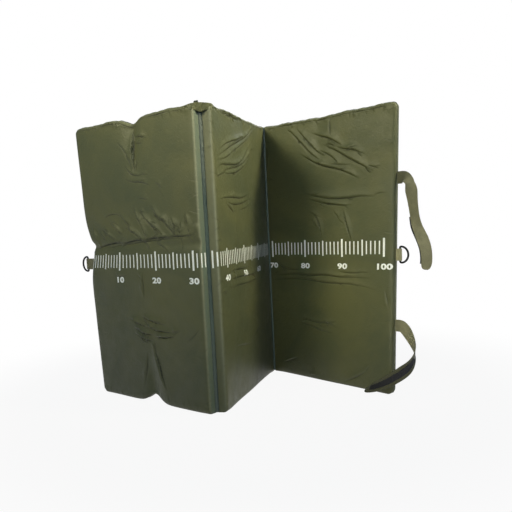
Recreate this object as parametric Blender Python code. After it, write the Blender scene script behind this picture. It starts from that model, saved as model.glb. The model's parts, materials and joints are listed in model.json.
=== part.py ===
"""Folding unhooking mat for coarse fishing.

Three foam panels in a coated fabric cover are joined by two sewn hinges, so that the mat folds in a zigzag.
The first hinge lies on the back face and the second on the front face. Each end has a D-ring on a webbing
tab, and the right end has two fastening straps. The mat stands half open on its lower edge.

Metres, +Z up. On a panel, u runs across from its left edge, v up from the floor, and w out of its front face,
with w = 0 at the middle of its thickness.
"""

from dataclasses import dataclass
from math import cos, exp, hypot, pi, radians, sin

import bmesh
import bpy
from mathutils import Matrix, Vector

# The padded panels
PANEL_WIDTH = 0.330
PANEL_HEIGHT = 0.600
PANEL_THICKNESS = 0.020
PANEL_CROWN = 0.003
EDGE_ROUND = 0.010
CORNER_RADIUS = 0.012
WALL_CORNER = 0.005
COVER_THICKNESS = 0.0008
FOAM_INSET = 0.003
FOAM_GAP = 0.0005
FOAM_EDGE_THICKNESS = 0.010

# Seams, and the gap that two pieces keep where they touch
SEAM_THICKNESS = 0.001
SEAM_PROUD = 0.001
SEAM_TUCK = 0.001
SEAM_SWEEP = 0.030
GATHER_WIDTH = 0.006
CLEARANCE = 0.0003

# The two fabric hinges and how far each stands open
HINGE_SLACK = 0.0025
HINGE_STANDOFF = 0.001
WEB_TUCK = 0.002
WEB_BEND = 0.0004
WEB_AXIS_GAP = 0.0002
TAIL_WIDTH = 0.009
TAIL_HEIGHT = 0.006
MIDDLE_BEARING = radians(66)
FOLD_1_OPENING = radians(74)
FOLD_2_OPENING = radians(66)

# Dents and creases in the soft panels
DENT_SPREAD = 0.024
DENT_REACH = 0.130
VALLEY_SPREAD = 0.014
WAIST_HEIGHT = 0.332
WAIST_SPREAD = 0.045
CREASE_HEIGHT = 0.340
CREASE_SPREAD = 0.010
LEFT_TOP_DENT = 0.013
LEFT_FOOT_DENT = 0.018
LEFT_VALLEY = 0.005
LEFT_PUSH = 0.004
LEFT_WAIST = 0.018
LEFT_CREASE = 0.004
LEFT_TWIST = -0.012
MIDDLE_VALLEY = 0.0015
RIGHT_TOP_DENT = 0.003
RIGHT_VALLEY = 0.0015
RIGHT_TWIST = 0.020

# Rings and their tabs
WEBBING_WIDTH = 0.025
WEBBING_THICKNESS = 0.0014
LEFT_RING_HEIGHT = 0.301
RIGHT_RING_HEIGHT = 0.291
RING_WIRE = 0.0042
RING_SPAN = 0.0328
RING_DEPTH = 0.0178
RING_CORNER = 0.003
LEFT_TAB_REACH = 0.030
RIGHT_TAB_REACH = 0.013

# Straps and the hook tape sewn on them
UPPER_STRAP_HEIGHT = 0.447
LOWER_STRAP_HEIGHT = 0.145
STRAP_ROOT_LENGTH = 0.008
TAPE_WIDTH = 0.012
TAPE_THICKNESS = 0.0012
TAPE_SHIFT = 0.004

# How finely the soft shapes are drawn
EDGE_STEPS = 3
EDGE_POWER = 2 / 3
BOW_STEPS = 16
LOOP_STEPS = 12
STRAP_STEPS = 3
ROW_SHARES = (0.10, 0.20, 0.31, 0.42, 0.49, 0.535, 0.565, 0.60, 0.69, 0.80, 0.90)
SWEEP_SHARES = (0.5, 1)

HALF = PANEL_THICKNESS / 2
HINGE_OFFSET = HALF + HINGE_STANDOFF
SEAM_PLANE = HALF - COVER_THICKNESS - CLEARANCE - SEAM_THICKNESS / 2
RIM_GAP = SEAM_THICKNESS / 2 + CLEARANCE
RING_RADIUS = RING_WIRE / 2
RIDGE_SHARE = 0.85


@dataclass
class Panel:
    """One padded panel. A side is free, or a hinge whose seam lies on the front or the back face."""
    name: str
    sides: tuple
    fold_share: float = 0.5
    top_dent: float = 0.0
    foot_dent: float = 0.0
    valley: float = 0.0
    push: float = 0.0
    waist: float = 0.0
    crease: float = 0.0
    twist: float = 0.0
    column_shares: tuple = (0.14, 0.28, 0.40, 0.50, 0.60, 0.72, 0.86)


LEFT = Panel(
    "left", ("free", "back"), fold_share=0.52, top_dent=LEFT_TOP_DENT, foot_dent=LEFT_FOOT_DENT,
    valley=LEFT_VALLEY, push=LEFT_PUSH, waist=LEFT_WAIST, crease=LEFT_CREASE, twist=LEFT_TWIST,
    column_shares=(0.12, 0.25, 0.37, 0.45, 0.49, 0.52, 0.55, 0.59, 0.70, 0.85))
MIDDLE = Panel(
    "middle", ("back", "front"), fold_share=0.55, valley=MIDDLE_VALLEY)
RIGHT = Panel(
    "right", ("front", "free"), fold_share=0.45, top_dent=RIGHT_TOP_DENT, valley=RIGHT_VALLEY,
    twist=RIGHT_TWIST)


def clear_scene():
    """Empty the scene of what it opens with."""
    for thing in list(bpy.data.objects):
        bpy.data.objects.remove(thing, do_unlink=True)


def mix(start, end, share):
    """The value that lies the given share of the way from start to end."""
    return start + (end - start) * share


def ease(share):
    """A smooth rise from 0 to 1 as the share goes from 0 to 1."""
    held = min(max(share, 0.0), 1.0)
    return held * held * (3 - 2 * held)


def bell(distance, spread):
    """A bump that is 1 at no distance and dies away over the spread."""
    return exp(-(distance / spread) ** 2)


def free_distance(panel, u):
    """How far a point lies from the panel's free edge, or None where it has none."""
    if panel.sides[0] == "free":
        return u
    if panel.sides[1] == "free":
        return PANEL_WIDTH - u
    return None


def round_corner(panel, u, v):
    """Draw the square corners at the free edge in to an arc."""
    along = free_distance(panel, u)
    if along is None:
        return u, v
    upper = v > PANEL_HEIGHT / 2
    up = PANEL_HEIGHT - v if upper else v
    across, rise = CORNER_RADIUS - along, CORNER_RADIUS - up
    if across <= 0 or rise <= 0:
        return u, v
    pull = max(across, rise) / hypot(across, rise)
    along, up = CORNER_RADIUS - across * pull, CORNER_RADIUS - rise * pull
    u = along if panel.sides[0] == "free" else PANEL_WIDTH - along
    return u, (PANEL_HEIGHT - up if upper else up)


def soften(panel, u, v, w):
    """Move a point of the plain, boxy panel to where it lies on the dented and twisted one."""
    u, v = round_corner(panel, u, v)
    top = ease(1 - (PANEL_HEIGHT - v) / DENT_REACH)
    foot = ease(1 - v / DENT_REACH)
    fold_line = panel.fold_share * PANEL_WIDTH
    dent = bell(u - fold_line, DENT_SPREAD)
    groove = bell(u - fold_line, VALLEY_SPREAD) * max(top, foot) * ease(min(v, PANEL_HEIGHT - v) / EDGE_ROUND)
    crease = bell(v - CREASE_HEIGHT, CREASE_SPREAD)
    along = free_distance(panel, u)
    if along is not None:
        share = 1 - along / PANEL_WIDTH
        inward = 1 if panel.sides[0] == "free" else -1
        u += inward * panel.waist * bell(v - WAIST_HEIGHT, WAIST_SPREAD) * share ** 2
        w_shift = -panel.twist * share * (2 * v / PANEL_HEIGHT - 1)
    else:
        w_shift = 0
    w -= (panel.valley * groove + panel.crease * crease) * ease(w / HALF / RIDGE_SHARE)
    w += w_shift - panel.push * dent * max(top, foot)
    v += panel.foot_dent * dent * foot - panel.top_dent * dent * top
    return u, v, w


def place(panel, u, v, w):
    """The softened point in the panel's own frame, whose origin lies on its hinge axis."""
    u, v, w = soften(panel, u, v, w)
    if panel.name == "left":
        x = u - PANEL_WIDTH - HINGE_SLACK
    else:
        x = u + HINGE_SLACK
    axis_w = HINGE_OFFSET if panel.name == "right" else -HINGE_OFFSET
    return Vector((x, axis_w - w, v))


def crown(u, v):
    """How far the padding swells at a point of a face."""
    across = 2 * u / PANEL_WIDTH - 1
    up = 2 * v / PANEL_HEIGHT - 1
    return PANEL_CROWN * (1 - min(abs(across), 1) ** 4) * (1 - min(abs(up), 1) ** 4)


def edge_profile():
    """The rounded free edge of a cover, as pairs of inward distance and share of the full height."""
    steps = [k * pi / (2 * EDGE_STEPS) for k in range(EDGE_STEPS + 1)]
    return [
        (EDGE_ROUND * (1 - max(cos(a), 0) ** EDGE_POWER), max(sin(a), 0) ** EDGE_POWER)
        for a in steps]


def side_columns(kind, face):
    """The columns at one side of a cover, edge first: inward distance, w there, and inward distance at the rim.

    A cover goes round the foam's wall at a hinge whose seam lies on the other face, and stays flat at a hinge
    whose seam lies on its own face.
    """
    if kind == "free":
        return [(d, face * mix(RIM_GAP, HALF, h), d) for d, h in edge_profile()]
    own = "front" if face > 0 else "back"
    if kind == own:
        return [(0, face * HALF, 0), (WALL_CORNER, face * HALF, WALL_CORNER)]
    bevel = WALL_CORNER * (1 - cos(pi / 4))
    wall = [
        (0, -SEAM_PLANE + SEAM_THICKNESS / 2 + CLEARANCE),
        (0, HALF - WALL_CORNER),
        (bevel, HALF - bevel),
        (WALL_CORNER, HALF)]
    return [(d, face * w, GATHER_WIDTH * k / (len(wall) - 1)) for k, (d, w) in enumerate(wall)]


def rim_height(panel, face, u):
    """Where the cover's rim runs along the top and the foot: mid-thickness, swept to the seam at a hinge."""
    w = face * RIM_GAP
    own = "front" if face > 0 else "back"
    for kind, distance in zip(panel.sides, (u, PANEL_WIDTH - u)):
        if kind == "free":
            continue
        at_hinge = face * (HALF if kind == own else -SEAM_PLANE + SEAM_THICKNESS / 2 + CLEARANCE)
        w = mix(w, at_hinge, ease(1 - distance / SEAM_SWEEP))
    return w


def seam_height(panel, u):
    """The middle of the seam that joins the two covers along the top and the foot."""
    w = 0
    for kind, distance in zip(panel.sides, (u, PANEL_WIDTH - u)):
        if kind != "free":
            at_hinge = SEAM_PLANE if kind == "front" else -SEAM_PLANE
            w = mix(w, at_hinge, ease(1 - distance / SEAM_SWEEP))
    return w


def sweep_steps(kind):
    """Where the columns beside a hinge lie, while the seam sweeps back to mid-thickness."""
    return [] if kind == "free" else [share * SEAM_SWEEP for share in SWEEP_SHARES]


def face_columns(panel):
    """The columns that every layer of a panel shares, between its two sides."""
    us = sweep_steps(panel.sides[0])
    us += [share * PANEL_WIDTH for share in panel.column_shares]
    us += [PANEL_WIDTH - step for step in reversed(sweep_steps(panel.sides[1]))]
    return us


def cover_columns(panel, face):
    """All columns of a cover from left to right: u on the face, w on the face, and u at the rim."""
    columns = side_columns(panel.sides[0], face)
    columns += [(u, face * HALF, u) for u in face_columns(panel)]
    for inward, w, rim in reversed(side_columns(panel.sides[1], face)):
        columns.append((PANEL_WIDTH - inward, w, PANEL_WIDTH - rim))
    return columns


def cover_rows():
    """The rows of a cover from the floor up: v and the share of its full height. The foot is cut flat."""
    profile = edge_profile()
    foot = [(0, h) if k < 2 else (d, h) for k, (d, h) in enumerate(profile)]
    face = [(share * PANEL_HEIGHT, 1) for share in ROW_SHARES]
    top = [(PANEL_HEIGHT - d, h) for d, h in reversed(profile)]
    return foot + face + top


def grid_mesh(rows):
    """A bmesh sheet through rows of points."""
    mesh = bmesh.new()
    points = [[mesh.verts.new(p) for p in row] for row in rows]
    for low, high in zip(points, points[1:]):
        for k in range(len(low) - 1):
            mesh.faces.new((low[k], low[k + 1], high[k + 1], high[k]))
    return mesh


def finish_object(name, mesh, material, parent, smooth=True):
    """Turn a bmesh into a named object under its parent."""
    data = bpy.data.meshes.new(name)
    mesh.to_mesh(data)
    mesh.free()
    thing = bpy.data.objects.new(name, data)
    bpy.context.scene.collection.objects.link(thing)
    thing.parent = parent
    data.materials.append(material)
    if smooth:
        data.shade_smooth()
        data.set_sharp_from_angle(angle=radians(50))
    return thing


def make_cover(panel, face, material, parent):
    """One fabric face of a panel: a thin shell that wraps to the seam all round."""
    rows = []
    for v, height in cover_rows():
        row = []
        for face_u, face_w, rim_u in cover_columns(panel, face):
            u = mix(rim_u, face_u, height)
            w = mix(rim_height(panel, face, rim_u), face_w, height)
            if abs(face_w) == HALF:
                w += face * crown(u, v) * height
            row.append(place(panel, u, v, w))
        rows.append(row)
    mesh = grid_mesh(rows)
    bmesh.ops.remove_doubles(mesh, verts=mesh.verts, dist=CLEARANCE / 10)
    if face < 0:
        bmesh.ops.reverse_faces(mesh, faces=mesh.faces)
    side = "front" if face > 0 else "back"
    cover = finish_object(f"{panel.name}_{side}_cover", mesh, material, parent)
    shell = cover.modifiers.new("fabric", "SOLIDIFY")
    shell.thickness = COVER_THICKNESS
    shell.offset = -1
    return cover


def make_foam(panel, material, parent):
    """The foam core: a slab with eased edges that fills its cover."""
    us = [FOAM_INSET, EDGE_ROUND] + face_columns(panel)
    us += [PANEL_WIDTH - EDGE_ROUND, PANEL_WIDTH - FOAM_INSET]
    vs = [FOAM_INSET, EDGE_ROUND] + [share * PANEL_HEIGHT for share in ROW_SHARES]
    vs += [PANEL_HEIGHT - EDGE_ROUND, PANEL_HEIGHT - FOAM_INSET]
    full = HALF - COVER_THICKNESS - FOAM_GAP
    mesh = bmesh.new()
    sheets = {}
    for face in (1, -1):
        grid = []
        for j, v in enumerate(vs):
            row = []
            for i, u in enumerate(us):
                at_rim = i in (0, len(us) - 1) or j in (0, len(vs) - 1)
                w = FOAM_EDGE_THICKNESS / 2 if at_rim else full + crown(u, v)
                row.append(mesh.verts.new(place(panel, u, v, face * w)))
            grid.append(row)
        sheets[face] = grid
        for j in range(len(vs) - 1):
            for i in range(len(us) - 1):
                quad = [grid[j][i], grid[j][i + 1], grid[j + 1][i + 1], grid[j + 1][i]]
                mesh.faces.new(quad if face > 0 else quad[::-1])
    rims = []
    for face in (1, -1):
        grid = sheets[face]
        rim = list(grid[0])
        rim += [row[-1] for row in grid[1:]]
        rim += grid[-1][-2::-1]
        rim += [row[0] for row in grid[-2:0:-1]]
        rims.append(rim)
    front, back = rims
    for k in range(len(front)):
        nxt = (k + 1) % len(front)
        mesh.faces.new((front[nxt], front[k], back[k], back[nxt]))
    return finish_object(f"{panel.name}_foam_core", mesh, material, parent)


def make_loft(name, sections, material, parent, smooth=True):
    """A solid through a row of sections, closed at both ends and split into triangles the same way all along."""
    mesh = bmesh.new()
    rings = [[mesh.verts.new(p) for p in section] for section in sections]
    for near, far in zip(rings, rings[1:]):
        for k in range(len(near)):
            nxt = (k + 1) % len(near)
            mesh.faces.new((near[k], near[nxt], far[nxt]))
            mesh.faces.new((near[k], far[nxt], far[k]))
    mesh.faces.new(rings[0][::-1])
    mesh.faces.new(rings[-1])
    bmesh.ops.recalc_face_normals(mesh, faces=mesh.faces)
    return finish_object(name, mesh, material, parent, smooth)


def seam_section(panel, u, v, out_u, out_v, w):
    """One section of an edge seam: a point of the outline and which way is out there."""
    proud_v = SEAM_PROUD if out_v > 0 else 0
    corners = []
    for proud_u, rise in ((SEAM_PROUD * out_u, proud_v), (-SEAM_TUCK * out_u, -SEAM_TUCK * out_v)):
        for side in ((1, -1) if not corners else (-1, 1)):
            corners.append(place(panel, u + proud_u, v + rise, w + side * SEAM_THICKNESS / 2))
    return corners


def make_edge_seam(panel, name, stations, material, parent):
    """The sewn seam that closes the covers along part of the panel's outline."""
    sections = [seam_section(panel, *station) for station in stations]
    return make_loft(name, sections, material, parent)


def long_edge_stations(panel, v, out_v, us):
    """Seam stations along the top or the foot."""
    return [(u, v, 0, out_v, seam_height(panel, u)) for u in us]


def hinge_steps():
    """Seam stations beside a hinge, clear of its web."""
    return [WEB_TUCK + CLEARANCE, GATHER_WIDTH]


def make_end_seam(panel, material, parent):
    """The seam round a panel with a free edge: along the top, down the free edge and back along the foot."""
    free_first = panel.sides[0] == "free"
    out_u = -1 if free_first else 1
    edge = 0 if free_first else PANEL_WIDTH
    rounding = [d for d, _ in edge_profile()[1:]]
    us = face_columns(panel)
    if free_first:
        us = rounding + us + [PANEL_WIDTH - step for step in reversed(hinge_steps())]
        us = us[::-1]
    else:
        us = hinge_steps() + us + [PANEL_WIDTH - d for d in reversed(rounding)]
    vs = [PANEL_HEIGHT - d for d in rounding]
    vs += [share * PANEL_HEIGHT for share in reversed(ROW_SHARES)]
    vs += rounding[::-1]
    stations = long_edge_stations(panel, PANEL_HEIGHT, 1, us)
    stations.append((edge, PANEL_HEIGHT, out_u, 1, 0))
    stations += [(edge, v, out_u, 0, 0) for v in vs]
    stations.append((edge, 0, out_u, -1, 0))
    stations += long_edge_stations(panel, 0, -1, us[::-1])
    return make_edge_seam(panel, f"{panel.name}_edge_seam", stations, material, parent)


def make_middle_seams(panel, material, parent):
    """The middle panel's two seams, along its top and its foot."""
    us = hinge_steps() + face_columns(panel) + [PANEL_WIDTH - step for step in reversed(hinge_steps())]
    for name, v, out_v in (("top", PANEL_HEIGHT, 1), ("foot", 0, -1)):
        stations = long_edge_stations(panel, v, out_v, us)
        make_edge_seam(panel, f"{panel.name}_{name}_seam", stations, material, parent)


def make_web(panel, side, material, parent, tail=False):
    """Half of a fabric hinge: a sewn web that leaves the seam between the covers and bends out to the axis."""
    kind = panel.sides[side]
    sign = 1 if kind == "front" else -1
    sewn_w = sign * SEAM_PLANE
    axis_w = sign * (HINGE_OFFSET - WEB_AXIS_GAP - SEAM_THICKNESS / 2)
    bends = [(-WEB_BEND, sewn_w), (WEB_AXIS_GAP - HINGE_SLACK, axis_w)]
    levels = [0] + [share * PANEL_HEIGHT for share in ROW_SHARES] + [PANEL_HEIGHT]
    outlines = [(v, WEB_TUCK) for v in levels]
    if tail:
        step = PANEL_HEIGHT + SEAM_PROUD + CLEARANCE
        outlines += [(step, WEB_TUCK), (step, TAIL_WIDTH), (step + TAIL_HEIGHT, TAIL_WIDTH)]
    sections = []
    for v, inner in outlines:
        line = [(inner, sewn_w)] + bends
        if side == 1:
            line = [(PANEL_WIDTH - u, w) for u, w in line]
        half = SEAM_THICKNESS / 2
        section = [place(panel, u, v, w + half) for u, w in line]
        section += [place(panel, u, v, w - half) for u, w in reversed(line)]
        sections.append(section)
    fold = "fold_1" if kind == "back" else "fold_2"
    return make_loft(f"{fold}_{panel.name}_web", sections, material, parent, smooth=False)


def make_empty(name, parent, location, turn=0.0):
    """A bare frame that carries a moving group."""
    empty = bpy.data.objects.new(name, None)
    bpy.context.scene.collection.objects.link(empty)
    empty.parent = parent
    empty.location = location
    empty.rotation_euler = (0, 0, turn)
    return empty


def edge_offset(panel, height):
    """The free edge's place at a height, in the panel's frame. The edge runs straight from row to row."""
    u = 0 if panel.sides[0] == "free" else PANEL_WIDTH
    levels = [EDGE_ROUND] + [share * PANEL_HEIGHT for share in ROW_SHARES] + [PANEL_HEIGHT - EDGE_ROUND]
    low = max(level for level in levels if level <= height)
    high = min(level for level in levels if level > height)
    return place(panel, u, low, 0).lerp(place(panel, u, high, 0), (height - low) / (high - low))


def edge_frame(panel, height, parent, name):
    """A frame on the free edge, with x pointing out of the mat."""
    turn = pi if panel.sides[0] == "free" else 0
    return make_empty(name, parent, edge_offset(panel, height), turn)


def outward_slip(panel, height, v):
    """How much further out the free edge lies at v than at the height."""
    slip = edge_offset(panel, v).x - edge_offset(panel, height).x
    return -slip if panel.sides[0] == "free" else slip


def tab_outline(root, reach):
    """A tab seen from above: two layers of webbing that part round the ring's bar."""
    outer = RING_RADIUS + CLEARANCE + WEBBING_THICKNESS
    bar = reach - outer
    opening = pi * 0.8
    half = WEBBING_THICKNESS
    points = [(root, half)]
    for k in range(LOOP_STEPS + 1):
        angle = mix(opening, -opening, k / LOOP_STEPS)
        points.append((bar + outer * cos(angle), outer * sin(angle)))
    points.append((root, -half))
    return points


def make_tab(panel, height, reach, material, parent):
    """The webbing tab that holds a ring, its root following the slope of the soft edge."""
    layers = [-0.5, -0.25, 0, 0.25, 0.5]
    mesh = bmesh.new()
    rings = []
    for layer_share in layers:
        z = layer_share * WEBBING_WIDTH
        root = SEAM_PROUD + CLEARANCE + outward_slip(panel, height, height + z)
        rings.append([mesh.verts.new((x, y, z)) for x, y in tab_outline(root, reach)])
    for low, high in zip(rings, rings[1:]):
        for k in range(len(low)):
            nxt = (k + 1) % len(low)
            mesh.faces.new((low[k], low[nxt], high[nxt], high[k]))
    mesh.faces.new(rings[0][::-1])
    mesh.faces.new(rings[-1])
    bmesh.ops.recalc_face_normals(mesh, faces=mesh.faces)
    tab = finish_object(f"{panel.name}_ring_tab", mesh, material, parent)
    bar = reach - RING_RADIUS - CLEARANCE - WEBBING_THICKNESS
    channel = bmesh.new()
    bmesh.ops.create_cone(
        channel, cap_ends=True, segments=LOOP_STEPS * 2, radius1=RING_RADIUS + CLEARANCE,
        radius2=RING_RADIUS + CLEARANCE, depth=WEBBING_WIDTH * 2)
    cutter = finish_object(f"{panel.name}_tab_channel", channel, material, parent)
    cutter.location.x = bar
    cutter.hide_render = True
    cutter.display_type = "WIRE"
    cut = tab.modifiers.new("bar channel", "BOOLEAN")
    cut.operation = "DIFFERENCE"
    cut.object = cutter
    return tab, bar


def ring_path():
    """A D-ring's centre line: the straight bar on the axis, two small corners and the bow."""
    half = RING_SPAN / 2
    points = [(0, -half + RING_CORNER), (0, 0), (0, half - RING_CORNER)]
    points.append((RING_CORNER * (1 - cos(pi / 4)), half - RING_CORNER * (1 - sin(pi / 4))))
    for k in range(BOW_STEPS + 1):
        angle = mix(pi / 2, -pi / 2, k / BOW_STEPS)
        points.append((RING_CORNER + (RING_DEPTH - RING_CORNER) * cos(angle), half * sin(angle)))
    points.append((RING_CORNER * (1 - cos(pi / 4)), -half + RING_CORNER * (1 - sin(pi / 4))))
    return points


def make_ring(name, material, parent):
    """A welded wire D-ring with its origin on its bar."""
    curve = bpy.data.curves.new(name, "CURVE")
    curve.dimensions = "3D"
    spline = curve.splines.new("POLY")
    path = ring_path()
    spline.points.add(len(path) - 1)
    for point, (x, z) in zip(spline.points, path):
        point.co = (x, 0, z, 1)
    spline.use_cyclic_u = True
    curve.bevel_depth = RING_RADIUS
    curve.bevel_resolution = 2
    curve.materials.append(material)
    ring = bpy.data.objects.new(name, curve)
    bpy.context.scene.collection.objects.link(ring)
    ring.parent = parent
    return ring


# Where each strap runs from its hinge line, by eye: out of the mat, out of its front, up, and the
# way that its width points there. Places are shares of the webbing's width.
UPPER_ROUTE_SHARES = (
    ((0.00, 0.00, 0.00), (0, 0, 1)),
    ((0.20, 0.00, 0.00), (0, 0, 1)),
    ((0.46, -0.02, -0.09), (0.38, 0, 0.92)),
    ((0.68, -0.04, -0.34), (0.75, 0, 0.66)),
    ((0.78, -0.08, -0.78), (0.95, -0.2, 0.25)),
    ((0.84, -0.12, -1.48), (0.85, -0.5, 0.05)),
    ((0.92, -0.16, -2.32), (0.8, -0.6, 0.1)),
    ((1.04, -0.24, -3.64), (0.8, -0.6, 0.1)),
    ((1.24, -0.34, -4.28), (0.8, -0.6, 0.15)),
    ((1.60, -0.48, -5.22), (0.75, -0.6, 0.3)),
    ((1.76, -0.60, -5.96), (0.72, -0.68, 0.1)),
    ((1.76, -0.68, -6.88), (0.72, -0.7, 0)),
    ((1.62, -0.68, -7.56), (0.72, -0.7, -0.1)))
LOWER_ROUTE_SHARES = (
    ((0.00, 0.00, 0.00), (0, 0, 1)),
    ((0.22, 0.00, 0.00), (0, 0, 1)),
    ((0.58, 0.06, -0.22), (0.5, 0, 0.86)),
    ((1.10, 0.20, -0.90), (0.6, 0.2, 0.7)),
    ((1.58, 0.46, -1.62), (0.42, 0.45, 0.75)),
    ((1.78, 0.80, -2.14), (0.25, 0.68, 0.65)),
    ((1.66, 1.12, -2.68), (0.05, 0.68, 0.68)),
    ((1.24, 1.34, -3.30), (-0.25, 0.35, 0.85)),
    ((0.54, 1.44, -3.86), (-0.45, 0, 0.88)),
    ((-0.20, 1.46, -4.38), (-0.42, -0.25, 0.85)),
    ((-0.96, 1.46, -4.84), (-0.3, -0.5, 0.78)),
    ((-1.72, 1.44, -5.20), (-0.2, -0.75, 0.6)),
    ((-2.44, 1.40, -5.48), (-0.1, -0.95, 0.3)))
TIP_WIDTH_SHARES = (0.95, 0.75)
ROOT_ANGLES = (radians(15), radians(45))


def smooth_route(route):
    """Points and width directions on a smooth curve through a strap's route, with no overshoot."""
    keys = [
        (Vector((out, -front, up)) * WEBBING_WIDTH, Vector((wide[0], -wide[1], wide[2])))
        for (out, front, up), wide in route]
    before = tuple(near * 2 - far for near, far in zip(keys[0], keys[1]))
    after = tuple(near * 2 - far for near, far in zip(keys[-1], keys[-2]))
    padded = [before] + keys + [after]
    stations = []
    for k in range(1, len(keys)):
        for t in [step / STRAP_STEPS for step in range(STRAP_STEPS)]:
            stations.append([
                (a * (1 - t) ** 3 + b * (3 * t ** 3 - 6 * t ** 2 + 4)
                 + c * (3 * t + 3 * t ** 2 - 3 * t ** 3 + 1) + d * t ** 3) / 6
                for a, b, c, d in zip(*padded[k - 1:k + 3])])
    stations.append(list(keys[-1]))
    return stations


def ribbon_frames(stations):
    """Position, unit width direction and unit normal at each station of a ribbon."""
    frames = []
    for k, (point, wide) in enumerate(stations):
        before = stations[max(k - 1, 0)][0]
        after = stations[min(k + 1, len(stations) - 1)][0]
        tangent = (after - before).normalized()
        across = (wide - tangent * wide.dot(tangent)).normalized()
        frames.append((point, tangent, across, tangent.cross(across)))
    return frames


def strap_corners(width, tape_side):
    """Corners of a strap's section as distance across and face, with points where the tape's edges lie."""
    half = TAPE_WIDTH / 2
    across = [-width / 2, tape_side - half, tape_side + half, width / 2]
    return [(a, 1) for a in across] + [(a, -1) for a in reversed(across)]


def ribbon_section(frame, corners, thickness, lift=0.0, back=0.0):
    """One section of a ribbon, lifted off its route along the normal or set back along it."""
    point, tangent, across, normal = frame
    centre = point + normal * lift - tangent * back
    return [centre + across * a + normal * (thickness / 2 * b) for a, b in corners]


def make_strap(name, route, tape_side, material, parent):
    """A free strap of flat webbing, rounded about its hinge line, with a trimmed tip."""
    frames = ribbon_frames(smooth_route(route))
    radius = WEBBING_THICKNESS / 2
    whole = strap_corners(WEBBING_WIDTH, tape_side)
    sections = [
        ribbon_section(frames[0], whole, WEBBING_THICKNESS * sin(angle), back=radius * cos(angle))
        for angle in ROOT_ANGLES]
    for frame in frames[:-len(TIP_WIDTH_SHARES)]:
        sections.append(ribbon_section(frame, whole, WEBBING_THICKNESS))
    for frame, share in zip(frames[-len(TIP_WIDTH_SHARES):], TIP_WIDTH_SHARES):
        corners = [(a * share, b) for a, b in whole]
        sections.append(ribbon_section(frame, corners, WEBBING_THICKNESS))
    make_loft(name, sections, material, parent)
    return frames


def make_tape(name, frames, face, tape_side, material, parent):
    """Hook tape sewn along part of a strap, on one of its faces."""
    half = TAPE_WIDTH / 2
    corners = [(a + tape_side, b) for a, b in ((-half, -1), (half, -1), (half, 1), (-half, 1))]
    lift = face * (WEBBING_THICKNESS / 2 + CLEARANCE + TAPE_THICKNESS / 2)
    sections = [ribbon_section(frame, corners, TAPE_THICKNESS, lift) for frame in frames]
    return make_loft(name, sections, material, parent)


def make_strap_root(panel, height, name, material, parent):
    """The sewn stub of a strap where it comes out of the edge seam."""
    start = SEAM_PROUD + CLEARANCE
    sections = []
    for share in (-0.5, -0.25, 0, 0.25, 0.5):
        z = share * WEBBING_WIDTH
        root = start + outward_slip(panel, height, height + z)
        sections.append([
            Vector((x, y * WEBBING_THICKNESS / 2, z))
            for x, y in ((root, 1), (STRAP_ROOT_LENGTH, 1), (STRAP_ROOT_LENGTH, -1), (root, -1))])
    return make_loft(name, sections, material, parent)


def make_material(name, color, roughness, metallic=0.0):
    """A plain Principled material."""
    material = bpy.data.materials.new(name)
    material.use_nodes = True
    shader = material.node_tree.nodes["Principled BSDF"]
    shader.inputs["Base Color"].default_value = (*color, 1)
    shader.inputs["Roughness"].default_value = roughness
    shader.inputs["Metallic"].default_value = metallic
    return material


def make_panel(panel, frame, cloth, lining, foam, seam):
    """The covers and the foam of one panel."""
    make_foam(panel, foam, frame)
    make_cover(panel, 1, cloth, frame)
    make_cover(panel, -1, lining, frame)
    if "free" in panel.sides:
        make_end_seam(panel, seam, frame)
    else:
        make_middle_seams(panel, seam, frame)


def make_ring_group(panel, height, reach, frame, webbing, wire):
    """A tab on the free edge with the ring that swings in it."""
    edge = edge_frame(panel, height, frame, f"{panel.name}_tab_frame")
    bar = make_tab(panel, height, reach, webbing, edge)[1]
    axis = make_empty(f"{panel.name}_ring_axis", edge, (bar, 0, 0))
    make_ring(f"{panel.name}_d_ring", wire, axis)


def make_strap_group(name, height, route, tape, frame, webbing, hooks):
    """A sewn root, the strap that swings on it, and its hook tape."""
    edge = edge_frame(RIGHT, height, frame, f"{name}_frame")
    make_strap_root(RIGHT, height, f"{name}_root", webbing, edge)
    reach = STRAP_ROOT_LENGTH + CLEARANCE + WEBBING_THICKNESS / 2
    axis = make_empty(f"{name}_axis", edge, (reach, 0, 0))
    first_share, face, tape_side = tape
    frames = make_strap(name, route, tape_side, webbing, axis)
    first = round(first_share * len(frames))
    last = len(frames) - len(TIP_WIDTH_SHARES)
    make_tape(f"{name}_hook_tape", frames[first:last], face, tape_side, hooks, axis)


def centre_on_origin(frame):
    """Slide the whole mat so that the middle of its box stands over the origin."""
    bpy.context.view_layer.update()
    graph = bpy.context.evaluated_depsgraph_get()
    corners = []
    for thing in bpy.data.objects:
        if thing.type in {"MESH", "CURVE"} and not thing.hide_render:
            solid = thing.evaluated_get(graph)
            mesh = solid.to_mesh()
            corners += [solid.matrix_world @ vert.co for vert in mesh.vertices]
            solid.to_mesh_clear()
    for axis in (0, 1):
        values = [corner[axis] for corner in corners]
        frame.location[axis] -= (min(values) + max(values)) / 2
    bpy.context.view_layer.update()


def report_axes():
    """Print where the joints' axes stand."""
    for thing in bpy.data.objects:
        if thing.type == "EMPTY":
            place_now = thing.matrix_world.translation
            heading = thing.matrix_world.to_euler().z
            print(f"axis {thing.name} {place_now.x:.6f} {place_now.y:.6f} {place_now.z:.6f} {heading:.5f}")


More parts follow.
